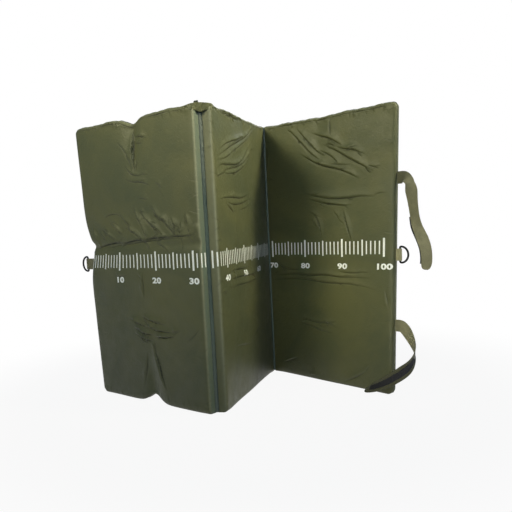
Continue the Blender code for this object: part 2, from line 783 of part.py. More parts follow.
def main():
    """Build the mat."""
    clear_scene()
    cloth = make_material("coated olive cloth", (0.082, 0.088, 0.046), 0.38)
    lining = make_material("coated olive backing", (0.066, 0.072, 0.040), 0.45)
    foam = make_material("closed-cell foam", (0.32, 0.33, 0.34), 0.9)
    seam = make_material("seam tape", (0.030, 0.036, 0.026), 0.6)
    webbing = make_material("khaki webbing", (0.20, 0.19, 0.085), 0.75)
    hooks = make_material("hook tape", (0.012, 0.011, 0.016), 0.85)
    wire = make_material("black enamelled wire", (0.010, 0.010, 0.012), 0.3, 0.4)

    mat = make_empty("mat_frame", None, (0, 0, 0))
    middle = make_empty("middle_frame", mat, (0, 0, 0), MIDDLE_BEARING)
    left_bearing = MIDDLE_BEARING - pi + FOLD_1_OPENING
    fold_1 = make_empty("fold_1_axis", mat, (0, 0, 0), left_bearing)
    across = PANEL_WIDTH + 2 * HINGE_SLACK
    fold_2_place = Matrix.Rotation(MIDDLE_BEARING, 3, "Z") @ Vector((across, -2 * HINGE_OFFSET, 0))
    right_bearing = MIDDLE_BEARING - pi + FOLD_2_OPENING
    fold_2 = make_empty("fold_2_axis", mat, fold_2_place, right_bearing)

    for panel, frame in ((LEFT, fold_1), (MIDDLE, middle), (RIGHT, fold_2)):
        make_panel(panel, frame, cloth, lining, foam, seam)
    make_web(LEFT, 1, seam, fold_1, tail=True)
    make_web(MIDDLE, 0, seam, middle)
    make_web(MIDDLE, 1, seam, middle)
    make_web(RIGHT, 0, seam, fold_2)
    make_ring_group(LEFT, LEFT_RING_HEIGHT, LEFT_TAB_REACH, fold_1, webbing, wire)
    make_ring_group(RIGHT, RIGHT_RING_HEIGHT, RIGHT_TAB_REACH, fold_2, webbing, wire)
    make_strap_group("upper_strap", UPPER_STRAP_HEIGHT, UPPER_ROUTE_SHARES, (0.56, -1, -TAPE_SHIFT),
                     fold_2, webbing, hooks)
    make_strap_group("lower_strap", LOWER_STRAP_HEIGHT, LOWER_ROUTE_SHARES, (0.45, -1, 0),
                     fold_2, webbing, hooks)
    centre_on_origin(mat)
    report_axes()


main()
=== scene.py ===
"""Looks of the folding unhooking mat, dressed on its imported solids.

Each padded panel is one closed cover with its folds and puckers. Sewn webs join the covers and bend at the
hinges. The straps, rings, tabs and seams are finer versions of their solids, and the ruler is a thin print
that follows the folds of the covers.

Metres, +Z up. On a panel, u runs across from its left edge, v up from the floor, and w out of its front
face, with w = 0 at the middle of its thickness. A face is 1 for the front and -1 for the back.
"""

import json
from dataclasses import dataclass
from math import cos, pi, radians, sin, tau

import bmesh
import bpy
import numpy as np
from mathutils import Matrix, Vector

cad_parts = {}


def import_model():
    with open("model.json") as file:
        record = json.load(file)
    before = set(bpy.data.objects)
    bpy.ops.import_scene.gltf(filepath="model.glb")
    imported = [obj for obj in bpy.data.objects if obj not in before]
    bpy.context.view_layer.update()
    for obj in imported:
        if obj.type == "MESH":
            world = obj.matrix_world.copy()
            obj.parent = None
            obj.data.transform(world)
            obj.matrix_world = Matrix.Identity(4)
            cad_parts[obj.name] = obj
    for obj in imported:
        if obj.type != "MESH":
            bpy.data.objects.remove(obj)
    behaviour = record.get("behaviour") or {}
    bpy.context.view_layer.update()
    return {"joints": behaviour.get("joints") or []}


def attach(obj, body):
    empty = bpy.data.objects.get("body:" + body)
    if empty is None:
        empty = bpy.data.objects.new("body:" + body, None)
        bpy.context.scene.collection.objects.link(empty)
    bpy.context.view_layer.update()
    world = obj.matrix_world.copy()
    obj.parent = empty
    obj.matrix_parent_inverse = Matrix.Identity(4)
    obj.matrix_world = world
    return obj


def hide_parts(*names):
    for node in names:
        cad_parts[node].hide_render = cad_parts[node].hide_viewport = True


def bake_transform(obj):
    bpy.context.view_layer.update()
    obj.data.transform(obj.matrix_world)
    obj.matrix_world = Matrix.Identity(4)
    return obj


MM = 0.001

# The panels' sizes, as in their solids
PANEL_WIDTH = 0.330
PANEL_HEIGHT = 0.600
HALF = 0.010
PANEL_CROWN = 0.003
EDGE_ROUND = 0.010
EDGE_POWER = 2 / 3
CORNER_RADIUS = 0.012
WALL_CORNER = 0.005
SEAM_THICKNESS = 0.001
CLEARANCE = 0.0003
SEAM_PLANE = 0.0084
# Where the wall beside a hinge meets the seam on the other face
WALL_FOOT = -SEAM_PLANE + SEAM_THICKNESS / 2 + CLEARANCE
RIM_GAP = 0.0008
SEAM_SWEEP = 0.030
GATHER_WIDTH = 0.006
HINGE_SLACK = 0.0025
HINGE_OFFSET = 0.011
WEB_TUCK = 0.002
TAIL_WIDTH = 0.009
TAIL_HEIGHT = 0.006
DENT_SPREAD = 0.024
DENT_REACH = 0.130
VALLEY_SPREAD = 0.014
WAIST_HEIGHT = 0.332
WAIST_SPREAD = 0.045
CREASE_HEIGHT = 0.340
CREASE_SPREAD = 0.010
RIDGE_SHARE = 0.85
# A narrow pinch in the left edge, and how the hem along the top wavers: lengths and shares of its height
PINCH_DEPTH = 0.005
PINCH_SPREAD = 0.008
PINCH_HEIGHT = 0.343
HEM_DEPTH = 0.035
HEM_WAVE = 0.0014
HEM_WAVES = ((0.083, 0.5), (0.041, 0.3), (0.019, 0.2))
HEM_PHASE = 9
# How fast the waist, the pinch and the padding's swell die away
WAIST_POWER = 2
PINCH_POWER = 8
CROWN_POWER = 4
# How far round its rounded edge the cover's foot is pressed flat
FOOT_ANGLE = pi / 6

# How finely the covers are drawn. Counts are even, so that every other line makes a coarser sheet
SIDE_STEPS = 8
EDGE_STEPS = 8
FACE_COLUMNS = 145
FACE_ROWS = 265

# The camera, fitted to the photograph's ruler and corners in pixels of its 512
IMAGE_SIZE = 512
FOCAL_PIXELS = 565.3
IMAGE_CENTRE = (210.2, 291.2)
CAMERA_OFFSET = (-0.0207, -1.0965, 0.3712)
CAMERA_PITCH = radians(6.55)
CAMERA_ROLL = radians(-3.35)
CAMERA_YAW = radians(1.07)
SENSOR_WIDTH = 36.0


@dataclass
class Panel:
    """One padded panel: how its sides are joined, how it stands, how it is dented, and how pale its free
    edge is made by wear and a painted highlight.
    """
    name: str
    sides: tuple
    hinge: str
    bearing: float
    fold_share: float = 0.5
    top_dent: float = 0.0
    foot_dent: float = 0.0
    valley: float = 0.0
    push: float = 0.0
    waist: float = 0.0
    crease: float = 0.0
    twist: float = 0.0
    edge_wear: float = 0.2
    seed: int = 0
    seams: tuple = ()
    origin: tuple = (0.0, 0.0)

    @property
    def body(self):
        """The CAD body that the panel is."""
        return f"{self.name}_panel"


LEFT = Panel(
    "left", ("free", "back"), "fold_1", radians(-40), fold_share=0.52, top_dent=0.013, foot_dent=0.018,
    valley=0.005, push=0.004, waist=0.018, crease=0.004, twist=-0.012, seed=11, seams=("left_edge_seam",))
MIDDLE = Panel(
    "middle", ("back", "front"), "fold_1", radians(66), fold_share=0.55, valley=0.0015, seed=23,
    seams=("middle_top_seam", "middle_foot_seam"))
RIGHT = Panel(
    "right", ("front", "free"), "fold_2", radians(-48), fold_share=0.45, top_dent=0.003, valley=0.0015,
    twist=0.020, edge_wear=1.0, seed=37, seams=("right_edge_seam",))
PANELS = (LEFT, MIDDLE, RIGHT)


# Shape of a panel

def mix(start, end, share):
    """The value that lies the given share of the way from start to end."""
    return start + (end - start) * share


def ease(share):
    """A smooth rise from 0 to 1 as the share goes from 0 to 1."""
    held = np.clip(share, 0, 1)
    return held * held * (3 - 2 * held)


def bell(distance, spread):
    """A bump that is 1 at no distance and dies away over the spread."""
    return np.exp(-(distance / spread) ** 2)


def free_distance(panel, u):
    """How far points lie from the panel's free edge, or None where it has none."""
    if panel.sides[0] == "free":
        return u
    if panel.sides[1] == "free":
        return PANEL_WIDTH - u
    return None


def round_corner(panel, u, v):
    """Draw the square corners at the free edge in to an arc."""
    along = free_distance(panel, u)
    if along is None:
        return u, v
    up = np.minimum(v, PANEL_HEIGHT - v)
    across, rise = CORNER_RADIUS - along, CORNER_RADIUS - up
    inside = (across > 0) & (rise > 0)
    reach = np.where(inside, np.hypot(across, rise), 1)
    pull = np.where(inside, np.maximum(across, rise) / reach, 1)
    along = np.where(inside, CORNER_RADIUS - across * pull, along)
    up = np.where(inside, CORNER_RADIUS - rise * pull, up)
    u = along if panel.sides[0] == "free" else PANEL_WIDTH - along
    return u, np.where(v > PANEL_HEIGHT / 2, PANEL_HEIGHT - up, up)


def soften(panel, u, v, w):
    """Move points of the plain, boxy panel to where they lie on the dented and twisted one."""
    u, v = round_corner(panel, u, v)
    top = ease(1 - (PANEL_HEIGHT - v) / DENT_REACH)
    foot = ease(1 - v / DENT_REACH)
    fold_line = panel.fold_share * PANEL_WIDTH
    dent = bell(u - fold_line, DENT_SPREAD)
    groove = bell(u - fold_line, VALLEY_SPREAD) * np.maximum(top, foot)
    groove = groove * ease(np.minimum(v, PANEL_HEIGHT - v) / EDGE_ROUND)
    crease = bell(v - CREASE_HEIGHT, CREASE_SPREAD)
    along = free_distance(panel, u)
    shift = 0
    if along is not None:
        share = 1 - along / PANEL_WIDTH
        inward = 1 if panel.sides[0] == "free" else -1
        u = u + inward * panel.waist * bell(v - WAIST_HEIGHT, WAIST_SPREAD) * share ** WAIST_POWER
        if panel.waist:
            u = u + inward * PINCH_DEPTH * bell(v - PINCH_HEIGHT, PINCH_SPREAD) * share ** PINCH_POWER
        shift = -panel.twist * share * (2 * v / PANEL_HEIGHT - 1)
    w = w - (panel.valley * groove + panel.crease * crease) * ease(w / HALF / RIDGE_SHARE)
    w = w + shift - panel.push * dent * np.maximum(top, foot)
    v = v + panel.foot_dent * dent * foot - panel.top_dent * dent * top
    return u, v, w


def hem_wave(panel, u, v):
    """How far the hem along a panel's top edge stands high or low."""
    wave = sum(part * np.sin(tau * u / length + HEM_PHASE * panel.bearing / part)
               for length, part in HEM_WAVES)
    ends = ease(np.minimum(u, PANEL_WIDTH - u) / HEM_DEPTH)
    return HEM_WAVE * wave * ends * ease((v - PANEL_HEIGHT + HEM_DEPTH) / HEM_DEPTH)


def place(panel, u, v, w):
    """Points of a softened panel in the row frame, as an array with x, y and z last."""
    u, v, w = soften(panel, *np.broadcast_arrays(u, v, w))
    v = v + hem_wave(panel, u, v)
    x = u - PANEL_WIDTH - HINGE_SLACK if panel is LEFT else u + HINGE_SLACK
    y = (HINGE_OFFSET if panel is RIGHT else -HINGE_OFFSET) - w
    turn_x, turn_y = cos(panel.bearing), sin(panel.bearing)
    return np.stack([
        panel.origin[0] + x * turn_x - y * turn_y,
        panel.origin[1] + x * turn_y + y * turn_x,
        v], axis=-1)


def crown(u, v):
    """How far the padding swells at points of a face."""
    across = np.clip(np.abs(2 * u / PANEL_WIDTH - 1), 0, 1)
    up = np.clip(np.abs(2 * v / PANEL_HEIGHT - 1), 0, 1)
    return PANEL_CROWN * (1 - across ** CROWN_POWER) * (1 - up ** CROWN_POWER)


def face_name(face):
    """The word for a face, as a panel's sides have it."""
    return "front" if face > 0 else "back"


def hinge_sides(panel, u):
    """The kinds of a panel's sides that have a hinge, and how far points lie from each."""
    return [(kind, away) for kind, away in zip(panel.sides, (u, PANEL_WIDTH - u)) if kind != "free"]


def rounding(steps):
    """The rounded edge of a cover: inward distances, and shares of the full height there."""
    angle = np.linspace(0, pi / 2, steps + 1)
    inward = EDGE_ROUND * (1 - np.clip(np.cos(angle), 0, 1) ** EDGE_POWER)
    return inward, np.sin(angle) ** EDGE_POWER


def side_lines(kind, face):
    """The lines at one side of a cover, edge first: inward distance, w, inward distance at the rim, and
    how far the cloth has gone outwards past the edge of the face."""
    if kind == "free":
        inward, height = rounding(SIDE_STEPS)
        return inward, face * mix(RIM_GAP, HALF, height), inward, -inward
    gathered = np.linspace(0, GATHER_WIDTH, SIDE_STEPS + 1)
    if kind == face_name(face):
        return gathered, face * HALF * np.ones(SIDE_STEPS + 1), gathered, -gathered
    straight = SIDE_STEPS // 2
    corner_w = HALF - WALL_CORNER
    wall_w = np.linspace(WALL_FOOT, corner_w, straight + 1)
    angle = np.linspace(0, pi / 2, SIDE_STEPS - straight + 1)[1:]
    inward = np.concatenate([0 * wall_w, WALL_CORNER * (1 - np.cos(angle))])
    w = np.concatenate([wall_w, corner_w + WALL_CORNER * np.sin(angle)])
    spent = np.concatenate([wall_w - wall_w[0], corner_w - WALL_FOOT + WALL_CORNER * angle])
    return inward, face * w, gathered, spent[-1] - WALL_CORNER - spent


def cover_columns(panel, face):
    """All columns of a cover: u and w on the face, u at the rim, and the place across the cloth."""
    left, right = (side_lines(kind, face) for kind in panel.sides)
    middle = np.linspace(EDGE_ROUND, PANEL_WIDTH - EDGE_ROUND, FACE_COLUMNS + 2)[1:-1]
    face_u = np.concatenate([left[0], middle, PANEL_WIDTH - right[0][::-1]])
    face_w = np.concatenate([left[1], face * HALF * np.ones(len(middle)), right[1][::-1]])
    rim_u = np.concatenate([left[2], middle, PANEL_WIDTH - right[2][::-1]])
    across = np.concatenate([-left[3], middle, PANEL_WIDTH + right[3][::-1]])
    return face_u, face_w, rim_u, across


def cover_rows():
    """The rows of a cover from the floor up: v, and the share of its full height. The foot is flat."""
    inward, height = rounding(EDGE_STEPS)
    flat_inward = EDGE_ROUND * (1 - cos(FOOT_ANGLE) ** EDGE_POWER)
    flat_height = sin(FOOT_ANGLE) ** EDGE_POWER
    lift = flat_inward * (1 - height) / (1 - flat_height)
    foot = np.where(height <= flat_height, 0, inward - lift)
    face = np.linspace(EDGE_ROUND, PANEL_HEIGHT - EDGE_ROUND, FACE_ROWS + 2)[1:-1]
    v = np.concatenate([foot, face, PANEL_HEIGHT - inward[::-1]])
    return v, np.concatenate([height, np.ones(len(face)), height[::-1]])


def rim_height(panel, face, u):
    """Where the cover's rim runs along the top and the foot: mid-thickness, swept to the seam at a hinge."""
    w = face * RIM_GAP * np.ones_like(u)
    for kind, away in hinge_sides(panel, u):
        at_hinge = face * (HALF if kind == face_name(face) else WALL_FOOT)
        w = mix(w, at_hinge, ease(1 - away / SEAM_SWEEP))
    return w


def seam_height(panel, u):
    """The middle of the seam that joins the two faces along the top and the foot."""
    w = np.zeros_like(u)
    for kind, away in hinge_sides(panel, u):
        w = mix(w, SEAM_PLANE if kind == "front" else -SEAM_PLANE, ease(1 - away / SEAM_SWEEP))
    return w


# Folds in the cloth, in millimetres of u and v, as the photograph shows them on the front faces: rise,
# width, and the line along the flank of the fold. The ridge lies to the left of the way the line runs.

FRONT_FOLDS = {
    "left": (
        (3.0, 8, ((172, 488), (172, 530), (171, 568), (173, 596))),
        (1.2, 6, ((146, 506), (162, 484), (193, 481))),
        (1.2, 6, ((144, 478), (161, 470), (189, 468), (215, 459))),
        (0.8, 5, ((227, 465), (246, 451))),
        (1.2, 5, ((175, 572), (196, 561), (212, 553))),
        (0.8, 5, ((175, 557), (199, 545))),
        (1.0, 8, ((129, 556), (148, 538), (158, 520), (166, 496))),
        (2.0, 7, ((20, 383), (25, 361), (21, 342))),
        (2.0, 7, ((54, 378), (73, 362), (96, 349))),
        (1.5, 6, ((40, 372), (52, 360), (60, 348))),
        (2.0, 6, ((85, 390), (103, 375), (118, 362))),
        (1.4, 6, ((118, 412), (130, 391), (145, 375), (150, 362))),
        (2.4, 7, ((132, 378), (158, 364), (179, 349), (187, 340))),
        (2.8, 7, ((162, 420), (167, 397), (178, 383), (187, 363), (187, 345))),
        (2.6, 7, ((177, 410), (195, 391), (211, 375), (225, 358))),
        (2.2, 6, ((203, 388), (223, 372), (240, 356))),
        (1.6, 7, ((211, 420), (223, 400), (240, 387))),
        (3.0, 8, ((231, 396), (242, 386), (258, 369), (275, 353))),
        (2.2, 6, ((262, 394), (270, 378), (274, 356))),
        (2.0, 5, ((287, 384), (286, 372), (283, 355))),
        (2.4, 6, ((300, 396), (304, 373), (306, 355))),
        (1.8, 5, ((318, 382), (320, 368), (318, 355))),
        (1.8, 6, ((4, 336), (30, 338), (62, 344), (94, 347), (128, 345))),
        (1.6, 6, ((104, 343), (138, 348), (167, 351), (192, 347))),
        (2.0, 6, ((180, 350), (207, 353), (235, 354), (262, 354))),
        (1.4, 6, ((246, 353), (268, 355), (296, 354), (320, 357))),
        (1.3, 15, ((319, 352), (235, 350), (140, 344), (40, 337))),
        (1.0, 5, ((214, 345), (229, 337), (246, 328))),
        (0.9, 5, ((184, 344), (193, 330))),
        (0.8, 6, ((182, 436), (206, 431))),
        (1.0, 6, ((70, 400), (88, 408), (118, 407))),
        (1.2, 5, ((171, 227), (172, 256), (171, 284))),
        (0.8, 7, ((84, 283), (95, 272), (127, 278))),
        (1.0, 6, ((153, 280), (166, 272), (171, 263))),
        (2.7, 6, ((120, 185), (152, 171), (177, 167))),
        (2.7, 6, ((158, 191), (193, 178), (228, 175))),
        (2.7, 6, ((132, 163), (168, 152), (194, 151))),
        (2.7, 6, ((174, 168), (202, 160), (247, 160))),
        (2.7, 6, ((134, 151), (163, 140), (188, 138))),
        (2.7, 6, ((193, 148), (225, 147), (253, 153))),
        (2.3, 8, ((217, 33), (207, 54), (201, 82), (193, 108), (187, 127))),
        (1.0, 8, ((145, 28), (159, 66), (168, 114))),
        (0.8, 7, ((281, 143), (304, 157), (321, 177))),
    ),
    "middle": (
        (1.8, 6, ((28, 516), (81, 538), (114, 543), (160, 556), (187, 561))),
        (2.4, 6, ((18, 503), (53, 515), (99, 533), (149, 547), (190, 559), (231, 580), (256, 590))),
        (2.4, 6, ((17, 496), (69, 505), (111, 525), (166, 541), (210, 561), (257, 584))),
        (2.2, 7, ((12, 468), (21, 487), (55, 491), (101, 492), (139, 500), (180, 520), (235, 556))),
        (2.2, 6, ((35, 475), (84, 485), (138, 493), (185, 511), (222, 534), (240, 552))),
        (2.0, 6, ((49, 472), (102, 475), (151, 488), (191, 504), (216, 524))),
        (1.2, 5, ((150, 541), (190, 549), (236, 572))),
        (1.0, 5, ((8, 464), (57, 476))),
        (1.5, 6, ((9, 420), (49, 426), (91, 426), (138, 425), (190, 437))),
        (1.6, 6, ((48, 418), (89, 411), (143, 415), (188, 425))),
        (1.2, 5, ((53, 411), (75, 403), (89, 394))),
        (1.0, 5, ((120, 400), (178, 408))),
        (1.0, 5, ((101, 324), (100, 358), (102, 392))),
        (1.5, 5, ((40, 590), (105, 590), (176, 590))),
        (1.5, 6, ((43, 272), (70, 279), (122, 277), (170, 278))),
        (1.8, 6, ((58, 262), (112, 262), (176, 258), (229, 263))),
        (1.5, 6, ((48, 242), (94, 246), (148, 243), (227, 247))),
        (1.0, 5, ((8, 238), (32, 242))),
        (0.8, 7, ((164, 120), (200, 128), (238, 134))),
        (0.7, 7, ((62, 122), (113, 114), (175, 105))),
    ),
    "right": (
        (2.6, 8, ((66, 585), (87, 565), (110, 541), (128, 521), (156, 503))),
        (2.6, 8, ((100, 524), (122, 509), (145, 496), (173, 485), (200, 478), (222, 468), (253, 452))),
        (2.2, 7, ((131, 568), (156, 557), (179, 547), (195, 537), (214, 526))),
        (2.0, 7, ((192, 529), (211, 520), (237, 515), (265, 502))),
        (2.6, 8, ((162, 537), (195, 518), (217, 504), (240, 490), (263, 477), (285, 464))),
        (1.6, 7, ((90, 583), (111, 561), (128, 543), (145, 524), (165, 511))),
        (1.3, 6, ((150, 527), (173, 515), (195, 498), (206, 485))),
        (1.0, 6, ((173, 493), (200, 488), (230, 484))),
        (2.0, 8, ((112, 433), (143, 423), (172, 417), (200, 414), (230, 414), (256, 416), (291, 412))),
        (1.8, 7, ((123, 419), (149, 410), (178, 404), (208, 399), (235, 399))),
        (1.5, 6, ((122, 392), (140, 381), (151, 358), (154, 329))),
        (1.0, 5, ((130, 374), (142, 356))),
        (1.5, 6, ((211, 393), (216, 370), (223, 348), (233, 320))),
        (0.9, 6, ((186, 390), (201, 370))),
        (0.9, 6, ((270, 479), (297, 469))),
        (1.0, 8, ((182, 551), (180, 572), (179, 591))),
        (1.6, 7, ((12, 281), (40, 263), (67, 256), (96, 258))),
        (2.0, 7, (
            (4, 243), (43, 244), (81, 248), (124, 244), (164, 247), (197, 242), (228, 243), (284, 242))),
        (1.6, 7, ((4, 230), (73, 236), (123, 234), (164, 228), (216, 229), (261, 225), (295, 216))),
        (1.2, 6, ((197, 256), (228, 251), (267, 255))),
        (1.6, 6, ((95, 145), (128, 136), (162, 136), (189, 139))),
        (1.5, 6, ((88, 132), (120, 127), (148, 118), (182, 115))),
        (1.2, 6, ((156, 144), (172, 137), (192, 127))),
        (1.0, 7, ((31, 26), (76, 45))),
        (1.2, 8, ((209, 8), (245, 24), (270, 43))),
        (1.0, 6, ((107, 8), (143, 8))),
        (0.8, 9, ((320, 183), (317, 203), (313, 218))),
    ),
}


# Every fold's width and rise against those written above, and its profile: where its ridge is highest, in
# widths, and how deep, narrow, steep and wide the valley beside it is
FOLD_WIDTH = 0.66
FOLD_RISE = 1.6
RIDGE_PLACE = 0.8
VALLEY_SHARE = 0.75
VALLEY_SQUEEZE = 1.5
VALLEY_POWER = 1.4
VALLEY_FALL = 0.30
# How far past its line a fold is worked out, in widths
FOLD_MARGIN = 3
# The rise of a large fold, whose crease is fully sharp, and how far beside it a crease counts
LARGE_RISE = 1.6
NEAR_CREASE = 2
# How much of the relief is left beside a hinge that a back face closes on, and how far that reaches
PRESSED_SHARE = 0.1
PRESSED_REACH = 0.20
# How far from its seam the cloth begins to fold
SEWN_FADE = 0.007
# How far from a fold's line its crease begins to fade, and where it ends
CREASE_REACH = (2.5, 4.5)


def rounded_line(points):
    """A line through points with its corners cut twice."""
    line = np.array(points, float)
    for _ in range(2):
        inner = np.stack([mix(line[:-1], line[1:], 0.25), mix(line[:-1], line[1:], 0.75)], axis=1)
        line = np.concatenate([line[:1], inner.reshape(-1, 2), line[-1:]])
    return line


def fold_relief(u, v, folds):
    """How far the folds lift the cloth at points u, v, how far the nearest crease runs beside each point,
    all in millimetres, and how sharp that crease is."""
    total, beside, sharp = np.zeros_like(u), np.zeros_like(u), np.zeros_like(u)
    for rise, width, points in folds:
        line = rounded_line(points)
        low, high = line.min(0) - FOLD_MARGIN * width, line.max(0) + FOLD_MARGIN * width
        near = (u > low[0]) & (u < high[0]) & (v > low[1]) & (v < high[1])
        here = np.stack([u[near], v[near]], axis=-1)
        nearest = np.full(len(here), np.inf)
        side = np.zeros(len(here))
        share = np.zeros(len(here))
        lengths = np.linalg.norm(np.diff(line, axis=0), axis=1)
        gone = np.concatenate([[0], np.cumsum(lengths)]) / lengths.sum()
        for k, length in enumerate(lengths):
            start, along = line[k], (line[k + 1] - line[k]) / length
            offset = here - start
            run = offset @ along
            held = np.clip(run, 0, length)
            distance = np.hypot(*(offset - held[:, None] * along).T)
            closer = distance < nearest
            nearest = np.where(closer, distance, nearest)
            side = np.where(closer, along[0] * offset[:, 1] - along[1] * offset[:, 0], side)
            share = np.where(closer, mix(gone[k], gone[k + 1], run / length), share)
        taper = np.sin(pi * np.clip(share, 0, 1))
        reach = nearest * np.sign(side) / (width * mix(FOLD_WIDTH / 2, FOLD_WIDTH, taper))
        rounded = np.maximum(reach, 0) / RIDGE_PLACE
        ridge = rounded * np.exp(1 - rounded)
        valley = np.exp(-np.abs(VALLEY_SQUEEZE * reach) ** VALLEY_POWER / VALLEY_FALL)
        total[near] += rise * FOLD_RISE * (ridge - VALLEY_SHARE * valley) * taper
        fading = 1 - ease((nearest - CREASE_REACH[0]) / (CREASE_REACH[1] - CREASE_REACH[0]))
        strength = taper * min(rise / LARGE_RISE, 1) * fading
        closer = strength * bell(nearest, NEAR_CREASE) > sharp[near] * bell(beside[near], NEAR_CREASE)
        beside[near] = np.where(closer, nearest * np.sign(side), beside[near])
        sharp[near] = np.where(closer, strength, sharp[near])
    return total, beside, sharp


# Ranges that the made-up folds are drawn from, in millimetres, radians and shares
BRANCH = {"turn": (0.1, 0.45), "reach": (10, 32), "bow": (-0.3, 0.3), "rise": (0.2, 0.5), "width": (4, 5.5)}
PUCKER = {"first": (10, 20), "reach": (6, 34), "slant": (-14, 14), "rise": (0.05, 0.5), "width": (4, 6),
          "step": (10, 50)}
HEM = {"length": (30, 80), "drop": (5.5, 8.5), "rise": (0.5, 1.4), "step": (0.6, 0.9)}
LOOSE = {"centre": ((40, 50), (290, 550)), "reach": (20, 70), "bow": (-12, 12), "rise": (0.8, 2.0),
         "width": (6, 9), "limits": ((6, 6), (324, 594))}
# How many branches a small and a large fold has, and how far their starts are scattered
FEW_BRANCHES = 1
MANY_BRANCHES = 3
BRANCH_SCATTER = 3
# Puckers: how much closer they are along the top, how near a corner the last one starts, and how far inside
# the top and the foot, or outside a side, each starts
TOP_CLOSENESS = 0.5
PUCKER_END = 12
PUCKER_INSET = 3
PUCKER_WRAP = 7
HEM_ENDS = 4.0
HEM_SHORTEST = 30
HEM_WIDTH = 4
LOOSE_COUNT = 26
LOOSE_TURN = 0.5
SWELLS = 9
SWELL_LENGTH = (60, 190)
SWELL_RISE = 0.16
# What each kind of made-up form adds to its face's seed
FOLD_SEED = 50
BRANCH_SEED = 70
HEM_SEED = 90
SWELL_SEED = 100
NO_LENGTH = 1e-12


def branches(folds, seed):
    """Small folds that leave the sides of larger ones, in millimetres."""
    rng = np.random.default_rng(seed)
    made = []
    for rise, _, points in folds:
        line = rounded_line(points)
        for _ in range(FEW_BRANCHES if rise < LARGE_RISE else MANY_BRANCHES):
            k = rng.integers(1, len(line) - 2)
            way = line[k + 1] - line[k]
            heading = np.arctan2(way[1], way[0]) + rng.choice((-1, 1)) * rng.uniform(*BRANCH["turn"])
            reach, bow = rng.uniform(*BRANCH["reach"]), rng.uniform(*BRANCH["bow"])
            start = line[k] + rng.normal(0, BRANCH_SCATTER, 2)
            bend = start + reach / 2 * np.array([np.cos(heading - bow), np.sin(heading - bow)])
            end = start + reach * np.array([np.cos(heading), np.sin(heading)])
            height = rise * rng.uniform(*BRANCH["rise"])
            made.append((height, rng.uniform(*BRANCH["width"]), (start, bend, end)))
    return made


def seam_puckers(seed):
    """Short folds that run in from the seams all round a face, and over the rims at its sides."""
    rng = np.random.default_rng(seed)
    width, height = PANEL_WIDTH / MM, PANEL_HEIGHT / MM
    folds = []
    for side, length in (("top", width), ("foot", width), ("left", height), ("right", height)):
        close = TOP_CLOSENESS if side == "top" else 1.0
        at = rng.uniform(*PUCKER["first"])
        while at < length - PUCKER_END:
            reach, slant = rng.uniform(*PUCKER["reach"]) * close, rng.uniform(*PUCKER["slant"]) * close
            near = PUCKER_INSET if side in ("top", "foot") else -PUCKER_WRAP
            start, end = (at, near), (at + slant, near + reach)
            if side == "top":
                start, end = (start[0], height - start[1]), (end[0], height - end[1])
            elif side == "left":
                start, end = start[::-1], end[::-1]
            elif side == "right":
                start, end = (width - start[1], start[0]), (width - end[1], end[0])
            folds.append((rng.uniform(*PUCKER["rise"]) / close, rng.uniform(*PUCKER["width"]), (start, end)))
            at += rng.uniform(*PUCKER["step"]) * close
    return folds


def hem_line(seed):
    """The sewn line a little below a panel's top edge, in lengths that run over each other."""
    rng = np.random.default_rng(seed)
    at, folds = HEM_ENDS, []
    while at < PANEL_WIDTH / MM - HEM_SHORTEST:
        length = rng.uniform(*HEM["length"])
        heights = PANEL_HEIGHT / MM - rng.uniform(*HEM["drop"], 3)
        end = min(at + length, PANEL_WIDTH / MM - HEM_ENDS)
        places = (at, heights[0]), ((at + end) / 2, heights[1]), (end, heights[2])
        folds.append((rng.uniform(*HEM["rise"]), HEM_WIDTH, places))
        at += length * rng.uniform(*HEM["step"])
    return folds


def loose_folds(seed):
    """Long, shallow folds for a face that the photograph doesn't show, in millimetres."""
    rng = np.random.default_rng(seed)
    folds = []
    for _ in range(LOOSE_COUNT):
        centre = rng.uniform(*LOOSE["centre"])
        heading = rng.normal(0, LOOSE_TURN)
        reach = rng.uniform(*LOOSE["reach"])
        bow = rng.uniform(*LOOSE["bow"])
        along = np.array([np.cos(heading), np.sin(heading)])
        beside = np.array([-along[1], along[0]])
        points = [centre - along * reach, centre + beside * bow, centre + along * reach]
        points = [tuple(np.clip(p, *LOOSE["limits"])) for p in points]
        folds.append((rng.uniform(*LOOSE["rise"]), rng.uniform(*LOOSE["width"]), points))
    return folds


def main_folds(panel, face, seed):
    """The larger folds of a face: the photograph's on a front, and made-up ones on a back."""
    return list(FRONT_FOLDS[panel.name]) if face > 0 else loose_folds(seed + FOLD_SEED)


def undulation(u, v, seed):
    """A gentle unevenness of the padding, in millimetres."""
    rng = np.random.default_rng(seed)
    total = np.zeros_like(u)
    for _ in range(SWELLS):
        length = rng.uniform(*SWELL_LENGTH)
        heading = rng.uniform(0, tau)
        phase = rng.uniform(0, tau)
        total += np.sin((u * np.cos(heading) + v * np.sin(heading)) * tau / length + phase)
    return total * SWELL_RISE


def grid_normals(points):
    """Unit normals of a grid of points, out of its front."""
    across = np.gradient(points, axis=1)
    up = np.gradient(points, axis=0)
    normal = np.cross(across, up)
    return normal / np.maximum(np.linalg.norm(normal, axis=-1, keepdims=True), NO_LENGTH)


def pressed(panel, face):
    """Shares of the relief that are left beside a hinge that a back face closes on."""
    across = cover_columns(panel, face)[3]
    share = np.ones_like(across)
    for kind, away in hinge_sides(panel, across):
        if face < 0 and kind == "back":
            share = share * mix(PRESSED_SHARE, 1, ease(away / PRESSED_REACH))
    return share


